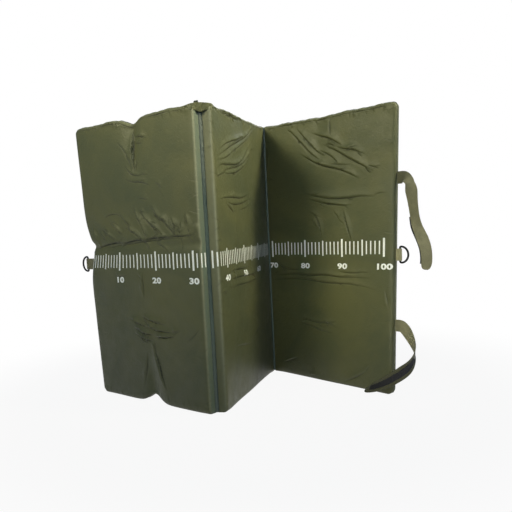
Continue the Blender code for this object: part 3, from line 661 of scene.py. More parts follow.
def cover_sheet(panel, face, seed):
    """One face of a cover as a grid of points in the row frame, and its layers: where each point lies on
    the cloth, how pale it is made by wear and by painted highlights, and the crease beside it."""
    v, height = (line[:, None] for line in cover_rows())
    face_u, face_w, rim_u, across = (line[None, :] for line in cover_columns(panel, face))
    u = mix(rim_u, face_u, height)
    w = mix(rim_height(panel, face, rim_u), face_w, height)
    on_face = np.abs(face_w) == HALF
    w = w + face * np.where(on_face, crown(u, v), 0) * height
    points = place(panel, u, v, w)
    cloth_u, cloth_v = np.broadcast_arrays(across / MM, v / MM)
    folds = main_folds(panel, face, seed)
    folds += branches(folds, seed + BRANCH_SEED) + seam_puckers(seed) + hem_line(seed + HEM_SEED)
    relief, beside, sharp = fold_relief(cloth_u, cloth_v, folds)
    lift = relief + undulation(cloth_u, cloth_v, seed + SWELL_SEED)
    side = ease((across - across.min()) / SEWN_FADE) * ease((across.max() - across) / SEWN_FADE)
    lift = lift * pressed(panel, face)[None, :]
    points = points + face * grid_normals(points) * (lift * MM * height * side)[..., None]
    points[..., 2] = np.maximum(points[..., 2], 0)
    cloth = np.stack([cloth_u * MM, cloth_v * MM, face * np.ones_like(cloth_u)], axis=-1)
    wall = ease(-(PANEL_WIDTH - across) / WALL_CORNER) if panel is LEFT and face > 0 else 0 * across
    crease = np.stack([beside, sharp * height * side, wall * np.ones_like(beside)], axis=-1)
    return points, {"cloth": cloth, "tone": rubbed(panel, face), "crease": crease}


# Mesh helpers

# Points nearer than this are one point
SAME_PLACE = MM / 100


def linked(name, data):
    """A new object in the scene that shows the data."""
    thing = bpy.data.objects.new(name, data)
    bpy.context.scene.collection.objects.link(thing)
    return thing


def new_object(name, points, faces, material=None, **layers):
    """A smooth mesh object from points and faces. Its layers are attributes of its points: cloth is where
    they lie on the cloth, tone how far its colour is taken pale by wear and by painted light, and crease how
    far and how sharp a crease is, for the painted shade along it."""
    mesh = bpy.data.meshes.new(name)
    mesh.from_pydata(np.asarray(points, float).tolist(), [],
                     faces.tolist() if isinstance(faces, np.ndarray) else faces)
    for label, values in layers.items():
        values = np.asarray(values, np.float32).ravel()
        kind, field = ("FLOAT", "value") if len(values) == len(points) else ("FLOAT_VECTOR", "vector")
        mesh.attributes.new(label, kind, "POINT").data.foreach_set(field, values)
    if material:
        mesh.materials.append(material)
    mesh.shade_smooth()
    return linked(name, mesh)


def unit(vectors):
    """Vectors of the same directions and of length 1."""
    return vectors / np.linalg.norm(vectors, axis=-1, keepdims=True)


def along_line(values, count):
    """Values spread evenly over so many places."""
    return np.interp(np.linspace(0, 1, count), np.linspace(0, 1, len(values)), values)


def grid_faces(rows, columns, first=0, wrap=False, flip=False):
    """Quads over a grid of points, row after row."""
    count = columns if wrap else columns - 1
    low = first + np.arange(rows - 1)[:, None] * columns + np.arange(count)[None, :]
    right = first + np.arange(rows - 1)[:, None] * columns + (np.arange(count)[None, :] + 1) % columns
    quads = np.stack([low, right, right + columns, low + columns], axis=-1).reshape(-1, 4)
    return quads[:, ::-1] if flip else quads


def closed_cover(name, front, back, material=None, **layers):
    """Join a front and a back sheet, column for column, into one closed cover."""
    rows, columns = front.shape[:2]
    total = rows * columns
    index = np.arange(total).reshape(rows, columns)
    rim = np.concatenate([index[0, :-1], index[:-1, -1], index[-1, :0:-1], index[:0:-1, 0]])
    after = np.roll(rim, -1)
    band = np.stack([after, rim, rim + total, after + total], axis=-1)
    faces = np.concatenate([grid_faces(rows, columns), grid_faces(rows, columns, total, flip=True), band])
    points = np.concatenate([front.reshape(-1, 3), back.reshape(-1, 3)])
    return new_object(name, points, faces, material, **layers)


def swept(name, sections, material, closed=False, **layers):
    """A solid through a row of sections, capped at both ends unless it closes on itself."""
    sections = np.asarray(sections, float)
    rows, columns = sections.shape[:2]
    if closed:
        sections = np.concatenate([sections, sections[:1]])
        rows += 1
    faces = [tuple(int(k) for k in quad) for quad in grid_faces(rows, columns, wrap=True)]
    if not closed:
        faces.append(tuple(range(columns))[::-1])
        faces.append(tuple(range((rows - 1) * columns, rows * columns)))
    thing = new_object(name, sections.reshape(-1, 3), faces, material, **layers)
    mesh = bmesh.new()
    mesh.from_mesh(thing.data)
    if closed:
        bmesh.ops.remove_doubles(mesh, verts=mesh.verts, dist=SAME_PLACE)
    bmesh.ops.recalc_face_normals(mesh, faces=mesh.faces)
    mesh.to_mesh(thing.data)
    mesh.free()
    return thing


# Covers, seams and webs

# Settling: the lines that are sewn down, how firmly the cloth is held beside them and over the padding, and
# how many lines lie between the two
SEWN_LINES = 3
EDGE_HOLD = 0.8
PADDING_HOLD = 0.35
HOLD_LINES = 8
# Cloth is loose over so many widths of a fold, and fully loose from so many millimetres of relief
LOOSE_WIDTHS = 3
LOOSE_RELIEF = 2
SETTLE_FRAMES = 20
# How far a point may move, in metres
SETTLE_CAP = 0.004
# The spare lengths are negative shrinking, where the cloth is tight and where it is loose
CLOTH_SETTINGS = {
    "quality": 5,
    "mass": 0.1,
    "tension_stiffness": 12,
    "compression_stiffness": 12,
    "shear_stiffness": 4,
    "bending_stiffness": 0.08,
    "vertex_group_mass": "held",
    "pin_stiffness": 1.0,
    "vertex_group_shrink": "loose",
    "shrink_min": -0.012,
    "shrink_max": -0.16,
    "use_pressure": True,
    "uniform_pressure_force": 0.4,
}
# Paleness in shares and metres: rubbing on fold walls, painted highlight on rims, wear and painted highlight
# at free edges, rubbing on top
WALL_RUB = 0.35
WALL_RUB_FADE = 0.004
RIM_HIGHLIGHT = 0.9
RIM_HIGHLIGHT_PLACE = 0.0005
RIM_HIGHLIGHT_SPREAD = 0.0022
EDGE_WEAR_HIGHLIGHT_START = 0.001
EDGE_WEAR_HIGHLIGHT_FADE = 0.003
TOP_RUB = 0.4
TOP_RUB_SPREAD = 0.004
# How much of it is left at the floor, so that the painted highlights are dimmer low down, where less light
# falls, and the height from which all of it is
LOW_PALENESS = 0.5
PALENESS_HEIGHT = 0.33
# The fold above the foot of the left panel, whose lit flank gets a painted highlight: places across it, and
# their heights
FOOT_RIDGE = ((0.181, 0.184, 0.181, 0.176), (0, 0.04, 0.08, 0.12))
FOOT_HIGHLIGHT = 0.22
FOOT_HIGHLIGHT_SPREAD = 0.013
FOOT_HIGHLIGHT_FADE = 0.03


def refine(grid):
    """A grid with one more value between each two neighbours along its first axis, on a smooth curve."""
    padded = np.concatenate([2 * grid[:1] - grid[1:2], grid, 2 * grid[-1:] - grid[-2:-1]])
    made = np.empty((2 * len(grid) - 1, *grid.shape[1:]))
    made[::2] = grid
    made[1::2] = (9 * (padded[1:-2] + padded[2:-1]) - padded[:-3] - padded[3:]) / 16
    return made


def looseness(panel, face, seed):
    """Where a face's cloth has length to spare: at the folds, and a little everywhere."""
    v = cover_rows()[0][::2, None] / MM
    across = cover_columns(panel, face)[3][None, ::2] / MM
    v, across = np.broadcast_arrays(v, across)
    wide = [(rise, LOOSE_WIDTHS * width, points) for rise, width, points in main_folds(panel, face, seed)]
    return np.clip(np.abs(fold_relief(across, v, wide)[0]) / LOOSE_RELIEF, 0, 1)


def hold(rows, columns):
    """How firmly each point of a coarse sheet is held: sewn at its edges, laid on the padding inside."""
    row, column = np.arange(rows)[:, None], np.arange(columns)[None, :]
    inside = np.minimum(np.minimum(row, rows - 1 - row), np.minimum(column, columns - 1 - column))
    padded = mix(EDGE_HOLD, PADDING_HOLD, ease((inside - SEWN_LINES) / HOLD_LINES))
    return np.where(inside < SEWN_LINES, 1.0, padded)


def settle(panel, front, back, seed):
    """Let the closed cover settle over its padding as cloth, and return how far its two sheets move."""
    sheets = front[::2, ::2], back[::2, ::2]
    rows, columns = sheets[0].shape[:2]
    cover = closed_cover("settling", *sheets)
    weights = {
        "held": np.concatenate([hold(rows, columns).ravel()] * 2),
        "loose": np.concatenate([looseness(panel, 1, seed).ravel(), looseness(panel, -1, seed + 1).ravel()]),
    }
    for name, values in weights.items():
        group = cover.vertex_groups.new(name=name)
        for index, value in enumerate(values):
            group.add([index], float(value), "REPLACE")
    cloth = cover.modifiers.new("cloth", "CLOTH")
    for name, value in CLOTH_SETTINGS.items():
        setattr(cloth.settings, name, value)
    cloth.settings.effector_weights.gravity = 0
    cloth.collision_settings.use_collision = False
    cloth.point_cache.frame_end = SETTLE_FRAMES
    scene = bpy.context.scene
    for frame_number in range(1, SETTLE_FRAMES + 1):
        scene.frame_set(frame_number)
    settled = cover.evaluated_get(bpy.context.evaluated_depsgraph_get()).to_mesh()
    points = np.empty(3 * len(settled.vertices))
    settled.vertices.foreach_get("co", points)
    bpy.data.objects.remove(cover)
    scene.frame_set(1)
    moves = []
    for sheet, moved in zip(sheets, points.reshape(2, rows, columns, 3)):
        move = moved - sheet
        far = np.linalg.norm(move, axis=-1, keepdims=True)
        move = move * np.minimum(1, SETTLE_CAP / np.maximum(far, SETTLE_CAP))
        moves.append(refine(refine(move).swapaxes(0, 1)).swapaxes(0, 1))
    return moves


def rubbed(panel, face):
    """How pale a sheet's points are made: a painted highlight on the rims that stand out at a fold and on
    the lit flank above the left panel's foot, and a little wear and painted highlight at the edges.
    """
    face_u, _, _, across = cover_columns(panel, face)
    wear_and_highlight = np.zeros_like(face_u)
    for kind, away in zip(panel.sides, (across, PANEL_WIDTH - across)):
        if kind == "free":
            # Wear and a painted highlight on the free edge's wall
            wear_and_highlight += panel.edge_wear * ease((EDGE_WEAR_HIGHLIGHT_START - away) / EDGE_WEAR_HIGHLIGHT_FADE)
        elif kind != face_name(face):
            wear_and_highlight += np.where(away < 0, WALL_RUB, 0) * ease(-away / WALL_RUB_FADE)
            # A painted highlight along the rim beside the groove
            wear_and_highlight += RIM_HIGHLIGHT * bell(away + RIM_HIGHLIGHT_PLACE, RIM_HIGHLIGHT_SPREAD)
    v = cover_rows()[0]
    edge = TOP_RUB * bell(PANEL_HEIGHT - v, TOP_RUB_SPREAD)
    # The paleness, painted highlights with it, is dimmer towards the floor, as the light is
    wear_and_highlight = wear_and_highlight[None, :] * mix(LOW_PALENESS, 1, ease(v / PALENESS_HEIGHT))[:, None] + edge[:, None]
    # A painted highlight on the lit flank of the fold above the left panel's foot
    if panel is LEFT and face > 0:
        places, heights = FOOT_RIDGE
        ridge = across[None, :] - np.interp(v, heights, places)[:, None]
        wear_and_highlight += FOOT_HIGHLIGHT * (bell(ridge, FOOT_HIGHLIGHT_SPREAD) * ease((heights[-1] - v) / FOOT_HIGHLIGHT_FADE)[:, None])
    return np.clip(wear_and_highlight, 0, 1)


def make_covers(panel, material):
    """The padded panel's closed cover. Returns its front sheet, which the ruler is printed on."""
    front, front_layers = cover_sheet(panel, 1, panel.seed)
    back, back_layers = cover_sheet(panel, -1, panel.seed + 1)
    front_move, back_move = settle(panel, front, back, panel.seed)
    front, back = front + front_move, back + back_move * pressed(panel, -1)[None, :, None]
    for sheet in (front, back):
        sheet[..., 2] = np.maximum(sheet[..., 2], 0)
    layers = {label: np.stack([front_layers[label], back_layers[label]]) for label in front_layers}
    cover = closed_cover(f"{panel.name}_padded_cover", front, back, material, **layers)
    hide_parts(f"{panel.name}_front_cover", f"{panel.name}_back_cover", f"{panel.name}_foam_core")
    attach(cover, panel.body)
    return front


SEAM_STEP = 0.0025
SEAM_PROUD = 0.0011
SEAM_TUCK = 0.001
SEAM_SECTION = ((-1, 1), (0.5, 1), (0.9, 0.6), (1, 0), (0.9, -0.6), (0.5, -1), (-1, -1))
# How far the seam wanders, how fast from station to station, and how its width varies
SEAM_WANDER = 0.25 * MM
SEAM_RATES = (0.31, 0.083)
SEAM_VARIES = (0.85, 1.15)


def seam_stations(panel):
    """Where a panel's edge seam runs, in one or two lines: u, v, which way is out, and w."""
    start = WEB_TUCK + CLEARANCE
    count = round(PANEL_WIDTH / SEAM_STEP)
    lines = []
    if panel is MIDDLE:
        us = np.linspace(start, PANEL_WIDTH - start, count)
        for v, out_v in ((PANEL_HEIGHT, 1), (0, -1)):
            lines.append([(u, v, 0, out_v, w) for u, w in zip(us, seam_height(panel, us))])
        return lines
    edge, out_u = (0, -1) if panel.sides[0] == "free" else (PANEL_WIDTH, 1)
    us = np.linspace(PANEL_WIDTH - edge + out_u * start, edge, count)[:-1]
    vs = np.linspace(PANEL_HEIGHT, 0, round(PANEL_HEIGHT / SEAM_STEP))[1:-1]
    heights = seam_height(panel, us)
    line = [(u, PANEL_HEIGHT, 0, 1, w) for u, w in zip(us, heights)]
    line.append((edge, PANEL_HEIGHT, out_u, 1, 0))
    line += [(edge, v, out_u, 0, 0) for v in vs]
    line.append((edge, 0, out_u, -1, 0))
    line += [(u, 0, 0, -1, w) for u, w in zip(us[::-1], heights[::-1])]
    return [line]


def make_seams(panel, material):
    """The sewn seams along a panel's outline, a little uneven, as they are where cloth is drawn in."""
    half = SEAM_THICKNESS / 2
    for line, node in zip(seam_stations(panel), panel.seams):
        rng = np.random.default_rng(panel.seed)
        sections, tones = [], []
        for k, (u, v, out_u, out_v, w) in enumerate(line):
            wander = SEAM_WANDER * sin(k * SEAM_RATES[0] + panel.seed) * sin(k * SEAM_RATES[1])
            proud = SEAM_PROUD * rng.uniform(*SEAM_VARIES)
            section = []
            for out, side in SEAM_SECTION:
                reach = out * (proud if out > 0 else SEAM_TUCK)
                rise = 0 if out_v < 0 and reach > 0 else reach * out_v
                section.append(place(panel, u + reach * out_u, v + rise, w + wander + side * half))
            sections.append(section)
            # The seam along a free side is taken pale as wear and a painted highlight
            tones += [panel.edge_wear if out_u and not out_v else 0] * len(section)
        seam = swept(node + "_strip", sections, material, tone=tones)
        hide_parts(node)
        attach(seam, panel.body)


WEB_BEND = 0.0004
WEB_AXIS_GAP = 0.0002
WEB_THICKNESS = 0.0008
WEB_ROWS = 201
WEB_CURVE_STEPS = 4
# How far above the foot and below the top the web ends, and how wide its cloth is across the bend
WEB_ENDS = (0.001, 0.0005)
WEB_CLOTH = 9 * MM
# How far the web waves, its two rates up its height, and the share of the second
WEB_WAVE = 0.30 * MM
WEB_RATES = (420, 910)
WEB_RATE_SHARE = 0.6
# Heights on the web of each kind of hinge, and how pale it is there
WEB_TONES = {
    "back": ((0, 0.10, 0.22, 0.30, 0.42, 0.50, 0.60), (0.45, 0.35, 0.10, 0.0, 0.05, 0.55, 0.95)),
    "front": ((0, 0.45, 0.60), (0.0, 0.0, 0.25)),
}


def web_line(before, after, kind, v):
    """A web's line across its hinge at some height: out of one seam, round the axis and into the other."""
    sign = 1 if kind == "front" else -1
    axis_w = sign * (HINGE_OFFSET - WEB_THICKNESS / 2 - WEB_AXIS_GAP)
    seam_w = sign * SEAM_PLANE
    ends = [(WEB_TUCK, seam_w), (-WEB_BEND, seam_w), (WEB_AXIS_GAP - HINGE_SLACK, axis_w)]
    line = [place(before, PANEL_WIDTH - u, v, w) for u, w in ends]
    line += [place(after, u, v, w) for u, w in reversed(ends)]
    return np.array(line)


def spline(points, steps):
    """Points on a smooth curve through the neighbourhood of the given ones, from the first to the last."""
    points = np.asarray(points, float)
    padded = np.concatenate([[2 * points[0] - points[1]], points, [2 * points[-1] - points[-2]]])
    made = []
    for k in range(1, len(points)):
        a, b, c, d = padded[k - 1:k + 3]
        for t in np.arange(steps) / steps:
            made.append((a * (1 - t) ** 3 + b * (3 * t ** 3 - 6 * t ** 2 + 4)
                         + c * (3 * t + 3 * t ** 2 - 3 * t ** 3 + 1) + d * t ** 3) / 6)
    return np.array([*made, points[-1]])


def make_web(name, before, after, kind, nodes, seed, material):
    """The sewn cloth that joins two panels and bends at their hinge."""
    first_phase, second_phase = np.random.default_rng(seed).uniform(0, tau, 2)
    sections, threads, tones = [], [], []
    for v in np.linspace(WEB_ENDS[0], PANEL_HEIGHT - WEB_ENDS[1], WEB_ROWS):
        line = spline(web_line(before, after, kind, v), WEB_CURVE_STEPS)
        along = np.gradient(line, axis=0)
        normal = unit(np.stack([-along[:, 1], along[:, 0], 0 * along[:, 0]], axis=-1))
        wave = WEB_WAVE * (sin(v * WEB_RATES[0] + first_phase)
                           + sin(v * WEB_RATES[1] + second_phase) * WEB_RATE_SHARE)
        line = line + normal * wave * np.sin(np.linspace(0, pi, len(line)))[:, None]
        half = normal * WEB_THICKNESS / 2
        sections.append(np.concatenate([line + half, (line - half)[::-1]]))
        across = np.linspace(0, WEB_CLOTH, len(line))
        across = np.concatenate([across, across[::-1]])
        threads.append(np.stack([across, np.full(len(across), v), 0 * across], axis=-1))
        tones.append(np.full(len(across), np.interp(v, *WEB_TONES[kind])))
    web = swept(name, sections, material, cloth=threads, tone=tones)
    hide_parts(*nodes)
    line = web_line(before, after, kind, PANEL_HEIGHT / 2)
    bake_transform(web)


TAIL_TUCK = 0.002
TAIL_ROWS = 13
TAIL_COLUMNS = 9
# How much narrower the tail is at its tip, how far it leans, and half its thickness at its foot and its tip
TAIL_NARROWING = 0.25
TAIL_LEAN = 0.0012
TAIL_HALVES = (0.0011, 0.0008)
# The share of its height where it gets thinner, how thin, and how far it curls, in so many half waves
TAIL_TIP = 0.95
TAIL_TIP_SHARE = 0.5
TAIL_CURL = 0.0007
TAIL_CURLS = 2.4


def make_tail(material):
    """The end of the web that stands up out of the seam above the first hinge."""
    low, high = PANEL_HEIGHT - TAIL_TUCK, PANEL_HEIGHT + CLEARANCE + SEAM_THICKNESS + TAIL_HEIGHT
    sections = []
    for share in np.linspace(0, 1, TAIL_ROWS):
        v = mix(low, high, share)
        wide = 1 - TAIL_NARROWING * share ** 4
        lean = TAIL_LEAN * share ** 2
        half = mix(*TAIL_HALVES, share) * (1 if share < TAIL_TIP else TAIL_TIP_SHARE)
        us = np.linspace(-TAIL_WIDTH, HINGE_SLACK - WEB_AXIS_GAP, TAIL_COLUMNS) * wide
        curl = TAIL_CURL * np.sin(np.linspace(0, TAIL_CURLS * pi, TAIL_COLUMNS)) * share
        outer, inner = ([place(LEFT, PANEL_WIDTH + u, v, -SEAM_PLANE + lean + c + side)
                         for u, c in zip(us, curl)] for side in (half, -half))
        sections.append(outer + inner[::-1])
    tail = swept("fold_1_tail", sections, material)
    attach(tail, LEFT.body)


LIP_COLUMNS = 41
LIP_ROWS = 13
# Heights of the lip's line, of its foot in the middle and of its top at its sides, how much its top rises in
# the middle, the depth below the panels' top of a middle height where two unused points are placed, how its
# foot rises to its sides and how that wavers
LIP_V = PANEL_HEIGHT - 0.010
LIP_FOOT = 0.586
LIP_TOP = PANEL_HEIGHT - 0.0015
LIP_RISE = 0.0033
LIP_BEND = 0.007
LIP_FOOT_RISE = 0.011
LIP_FOOT_WAVE = 0.0012
LIP_FOOT_RATE = 23
# How deep it sags into the groove at its foot and its top, and its puckers, which slant and crowd a little
LIP_SAG = (0.0040, 0.0005)
LIP_PUCKERS = 6.5
LIP_CROWDING = 0.05
LIP_SLANT = 1.6
LIP_RELIEF = 0.0009
LIP_PLAIN = 0.4
LIP_HALF = 0.0005
# The third place of the lip's points on the cloth, which keeps its pattern apart from the panels'
LIP_LAYER = 2
# How far in from each rim the lip's turns lie, and how far off the face
LIP_TURNS = ((0.020, -0.0010), (0.009, 0.0006), (0.0025, 0.0003))


def lip_line(v):
    """The lip's line from the left panel's face round both rims, how far along it each point lies, and a
    bow that is 1 over the middle of the groove and 0 beside it."""
    keys = [place(LEFT, np.array([PANEL_WIDTH - u]), np.array([v]), HALF + w)[0] for u, w in LIP_TURNS]
    keys += [place(MIDDLE, np.array([u]), np.array([v]), HALF + w)[0] for u, w in LIP_TURNS[::-1]]
    keys = np.array(keys)
    reach = np.concatenate([[0], np.cumsum(np.linalg.norm(np.diff(keys, axis=0), axis=1))])
    along = np.linspace(0, reach[-1], LIP_COLUMNS)
    line = np.stack([np.interp(along, reach, keys[:, k]) for k in range(3)], axis=1)
    groove = np.clip((along - reach[2]) / (reach[3] - reach[2]), 0, 1)
    return line, along, np.sin(pi * groove)


def make_lip(material):
    """The gathered lip of cloth that crosses the groove at the top of the first hinge."""
    line, along, bow = lip_line(LIP_V)
    chord = line[-1] - line[0]
    inward = np.array([-chord[1], chord[0], 0]) / np.linalg.norm(chord)
    share = along / along[-1]
    dome = np.sin(pi * share)
    foot = LIP_FOOT + LIP_FOOT_RISE * (1 - dome) + LIP_FOOT_WAVE * np.sin(share * LIP_FOOT_RATE)
    top = LIP_TOP + LIP_RISE * dome ** 2
    sections, cloth = [], []
    for up in np.linspace(0, 1, LIP_ROWS):
        v = mix(foot, top, up)
        crowded = share + LIP_CROWDING * np.sin(4 * share + 2 * up)
        gather = np.sin(tau * LIP_PUCKERS * crowded + LIP_SLANT * up) * dome
        deepest = LIP_PLAIN + (1 - LIP_PLAIN) * sin(pi * up)
        sheet = line + inward * (mix(*LIP_SAG, up) * bow - LIP_RELIEF * gather * deepest)[:, None]
        sheet[:, 2] = v
        sections.append(np.concatenate([sheet - inward * LIP_HALF, (sheet + inward * LIP_HALF)[::-1]]))
        across = np.concatenate([along, along[::-1]])
        cloth.append(np.stack([across, np.concatenate([v, v[::-1]]), 0 * across + LIP_LAYER], axis=-1))
    lip = swept("fold_1_lip", sections, material, cloth=cloth)
    middle = np.array([PANEL_HEIGHT - LIP_BEND])
    place(LEFT, PANEL_WIDTH, middle, HALF)[0]
    place(MIDDLE, 0.0, middle, HALF)[0]
    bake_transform(lip)


# Ruler

RULER_V = 0.307
NUMBER_V = 0.2665
NUMBER_HEIGHT = 0.0112
NUMBER_STRETCH = 1.5
NUMBER_BOLD = 0.0007
# The height of a capital letter against the size of its type, and the room between two
LETTER_SHARE = 0.70
LETTER_SPACE = 1.06
NUMBER_REACH = (0.024, 0.012)
PRINT_LIFT = 0.0003
TICK_WIDTHS = {1: 0.0029, 5: 0.0034, 10: 0.0045}
TICK_LENGTHS = {1: 0.028, 5: 0.034, 10: 0.039}
TICK_ROWS = 14
TICK_COLUMNS = 4
PRINT_GRID = 0.0015
# Centimetres on the ruler, and where they lie across each panel's cloth
RULER_PLACES = {
    "left": ((0, 10, 20, 33.2), (0.003, 0.101, 0.212, 0.344)),
    "middle": ((34.6, 69), (-0.015, 0.329)),
    "right": ((69.2, 101), (0.001, 0.319)),
}
RULER_SPANS = {"left": range(0, 34), "middle": range(35, 69), "right": range(70, 101)}
NUMBER_SHIFTS = {70: 0.003}


def on_sheet(panel, sheet, across, v, lift):
    """Points a little off a front sheet, from places across and up its cloth."""
    columns = cover_columns(panel, 1)[3]
    rows = cover_rows()[0]
    at_row = np.interp(v, rows[EDGE_STEPS:], np.arange(EDGE_STEPS, len(rows)))
    at_column = np.interp(across, columns, np.arange(len(columns)))
    low_row = np.clip(at_row.astype(int), 0, len(rows) - 2)
    low_column = np.clip(at_column.astype(int), 0, len(columns) - 2)
    share_row = (at_row - low_row)[..., None]
    share_column = (at_column - low_column)[..., None]

    def sample(grid):
        low = mix(grid[low_row, low_column], grid[low_row, low_column + 1], share_column)
        high = mix(grid[low_row + 1, low_column], grid[low_row + 1, low_column + 1], share_column)
        return mix(low, high, share_row)

    return sample(sheet) + sample(grid_normals(sheet)) * lift


def tick_size(mark):
    """The grade of a mark: every one, every fifth or every tenth."""
    return 10 if mark % 10 == 0 else 5 if mark % 5 == 0 else 1


def make_marks(panel, sheet, material):
    """The ruler's printed marks on a panel."""
    points, faces = [], []
    for mark in RULER_SPANS[panel.name]:
        grade = tick_size(mark)
        centre = np.interp(mark, *RULER_PLACES[panel.name])
        across = centre + np.linspace(-0.5, 0.5, TICK_COLUMNS)[None, :] * TICK_WIDTHS[grade]
        v = RULER_V + np.linspace(-0.5, 0.5, TICK_ROWS)[:, None] * TICK_LENGTHS[grade]
        across, v = np.broadcast_arrays(across, v)
        first = len(points) * across.size
        points.append(on_sheet(panel, sheet, across, v, PRINT_LIFT).reshape(-1, 3))
        faces.append(grid_faces(*across.shape, first))
    marks = new_object(f"{panel.name}_ruler_marks", np.concatenate(points), np.concatenate(faces), material)
    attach(marks, panel.body)


def flat_number(text):
    """A number's flat letters as a bmesh, centred, in metres, cut into a fine grid."""
    curve = bpy.data.curves.new("number", "FONT")
    curve.body = text
    curve.align_x = "CENTER"
    curve.align_y = "CENTER"
    curve.size = NUMBER_HEIGHT / LETTER_SHARE
    curve.offset = NUMBER_BOLD
    curve.space_character = LETTER_SPACE
    thing = linked("number", curve)
    bpy.context.view_layer.update()
    flat = bpy.data.meshes.new_from_object(thing.evaluated_get(bpy.context.evaluated_depsgraph_get()))
    bpy.data.objects.remove(thing)
    mesh = bmesh.new()
    mesh.from_mesh(flat)
    bpy.data.meshes.remove(flat)
    for way, reach in zip((Vector((1, 0, 0)), Vector((0, 1, 0))), NUMBER_REACH):
        for at in np.arange(-reach, reach, PRINT_GRID):
            everything = mesh.verts[:] + mesh.edges[:] + mesh.faces[:]
            bmesh.ops.bisect_plane(mesh, geom=everything, plane_co=way * at, plane_no=way)
    bmesh.ops.triangulate(mesh, faces=mesh.faces)
    return mesh


def make_numbers(panel, sheet, material):
    """The ruler's numbers on a panel, one for every ten centimetres."""
    points, faces = [], []
    for mark in RULER_SPANS[panel.name]:
        if mark == 0 or mark % 10:
            continue
        flat = flat_number(str(mark))
        flat.verts.index_update()
        local = np.array([vert.co for vert in flat.verts])
        first = sum(len(p) for p in points)
        centre = np.interp(mark, *RULER_PLACES[panel.name]) + NUMBER_SHIFTS.get(mark, 0)
        across = centre + local[:, 0] * NUMBER_STRETCH
        points.append(on_sheet(panel, sheet, across, NUMBER_V + local[:, 1], PRINT_LIFT))
        faces += [tuple(first + vert.index for vert in face.verts) for face in flat.faces]
        flat.free()
    numbers = new_object(f"{panel.name}_ruler_numbers", np.concatenate(points), faces, material)
    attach(numbers, panel.body)


# Rings and tabs

WEBBING_WIDTH = 0.025
WEBBING_THICKNESS = 0.0014
RING_RADIUS = 0.0021
RING_SPAN = 0.0328
RING_DEPTH = 0.0178
RING_CORNER = 0.003
RING_SEGMENTS = 16
RING_BAR_STEPS = 12
RING_BOW_STEPS = 49
# Angles round a ring's corner, and how much thicker its weld is and how far that reaches
RING_TURNS = (0.4, 0.8, 1.2)
WELD_SHARE = 0.10
WELD_SPREAD = 0.0016
TAB_REACHES = {"left": 0.030, "right": 0.013}
TAB_TONES = {"left": (0.3, 0.3), "right": (0.9, 0.9)}
TAB_WIDTH = 0.99 * WEBBING_WIDTH
# Where a tab starts outside the panel's edge, the gap between its layers, where they part before the ring's
# bar in radii, and how far they go round it
TAB_ROOT = 0.0004
TAB_GAP = 0.0001
TAB_PARTING = 1.25
TAB_TURN = 0.78 * pi
TAB_STEPS = 8
TAB_TURN_STEPS = 25
# Woven ribs along a ribbon: how many, their height, and where its thin edge begins and how thin it is
RIB_COUNT = 8
RIB_HEIGHT = 0.05
RIBBON_EDGE = 0.97
RIBBON_EDGE_SHARE = 0.55


def joint_place(frame, name):
    """Where a joint's axis stands."""
    return np.array(next(j["pos_m"] for j in frame["joints"] if j["name"] == name))


def outward_frame(panel):
    """Unit directions at a panel's free edge: out of the mat, and beside that."""
    turn = panel.bearing + (pi if panel.sides[0] == "free" else 0)
    return np.array([cos(turn), sin(turn), 0]), np.array([-sin(turn), cos(turn), 0])


def ring_path():
    """A D-ring's centre line as outward and upward distances from its bar."""
    half = RING_SPAN / 2
    bar = [(0, z) for z in np.linspace(-half + RING_CORNER, half - RING_CORNER, RING_BAR_STEPS)]
    corner = [(RING_CORNER * (1 - cos(a)), half - RING_CORNER * (1 - sin(a))) for a in RING_TURNS]
    bow = [(RING_CORNER + (RING_DEPTH - RING_CORNER) * cos(a), half * sin(a))
           for a in np.linspace(pi / 2, -pi / 2, RING_BOW_STEPS)]
    return np.array([*bar, *corner, *bow, *((x, -z) for x, z in corner[::-1])])


def make_ring(panel, frame, material):
    """The wire D-ring with a welded joint in the middle of its bar."""
    axis = joint_place(frame, f"{panel.name}_ring_swing")
    out, beside = outward_frame(panel)
    line = ring_path()
    along = unit(np.roll(line, -1, axis=0) - np.roll(line, 1, axis=0))
    normal = np.stack([along[:, 1], -along[:, 0]], axis=-1)
    angles = np.linspace(0, tau, RING_SEGMENTS, endpoint=False)
    sections = []
    for (x, z), (nx, nz) in zip(line, normal):
        weld = 1 + WELD_SHARE * bell(z, WELD_SPREAD) * (x < RING_CORNER / 2)
        centre = axis + out * x + np.array([0, 0, z])
        sections.append([
            centre + RING_RADIUS * weld * (cos(a) * (out * nx + np.array([0, 0, nz])) + sin(a) * beside)
            for a in angles])
    ring = swept(f"{panel.name}_wire_ring", sections, material, closed=True)
    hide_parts(f"{panel.name}_d_ring")
    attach(ring, f"{panel.name}_ring")


def ribbon(name, frames, width, thickness, material, tones=(0, 0), shift=0.0, taper=None, ribs=True):
    """A flat strap with rounded edges along frames of point, width direction and normal. Its tones are
    spread evenly from its first frame to its last."""
    columns = 4 * RIB_COUNT + 1
    shares = np.linspace(-1, 1, columns)
    rib = RIB_HEIGHT * np.abs(np.cos(shares * RIB_COUNT * pi / 2)) if ribs else 0
    edge = np.where(np.abs(shares) > RIBBON_EDGE, RIBBON_EDGE_SHARE, 1 + rib)
    taper = np.ones(len(frames)) if taper is None else taper
    sections, cloth = [], []
    gone = 0
    before = frames[0][0]
    for (point, across, normal), narrow in zip(frames, taper):
        gone += np.linalg.norm(point - before)
        before = point
        rise = normal * thickness / 2
        middle = [point + across * (s * width / 2 * narrow + shift) for s in shares]
        upper = [m + rise * e for m, e in zip(middle, edge)]
        lower = [m - rise * e for m, e in zip(middle, edge)]
        sections.append(upper + lower[::-1])
        row = [(s * width / 2, gone, 0) for s in shares]
        cloth.append(row + row[::-1])
    tone = np.repeat(along_line(tones, len(frames)), 2 * columns)
    return swept(name, sections, material, cloth=cloth, tone=tone)


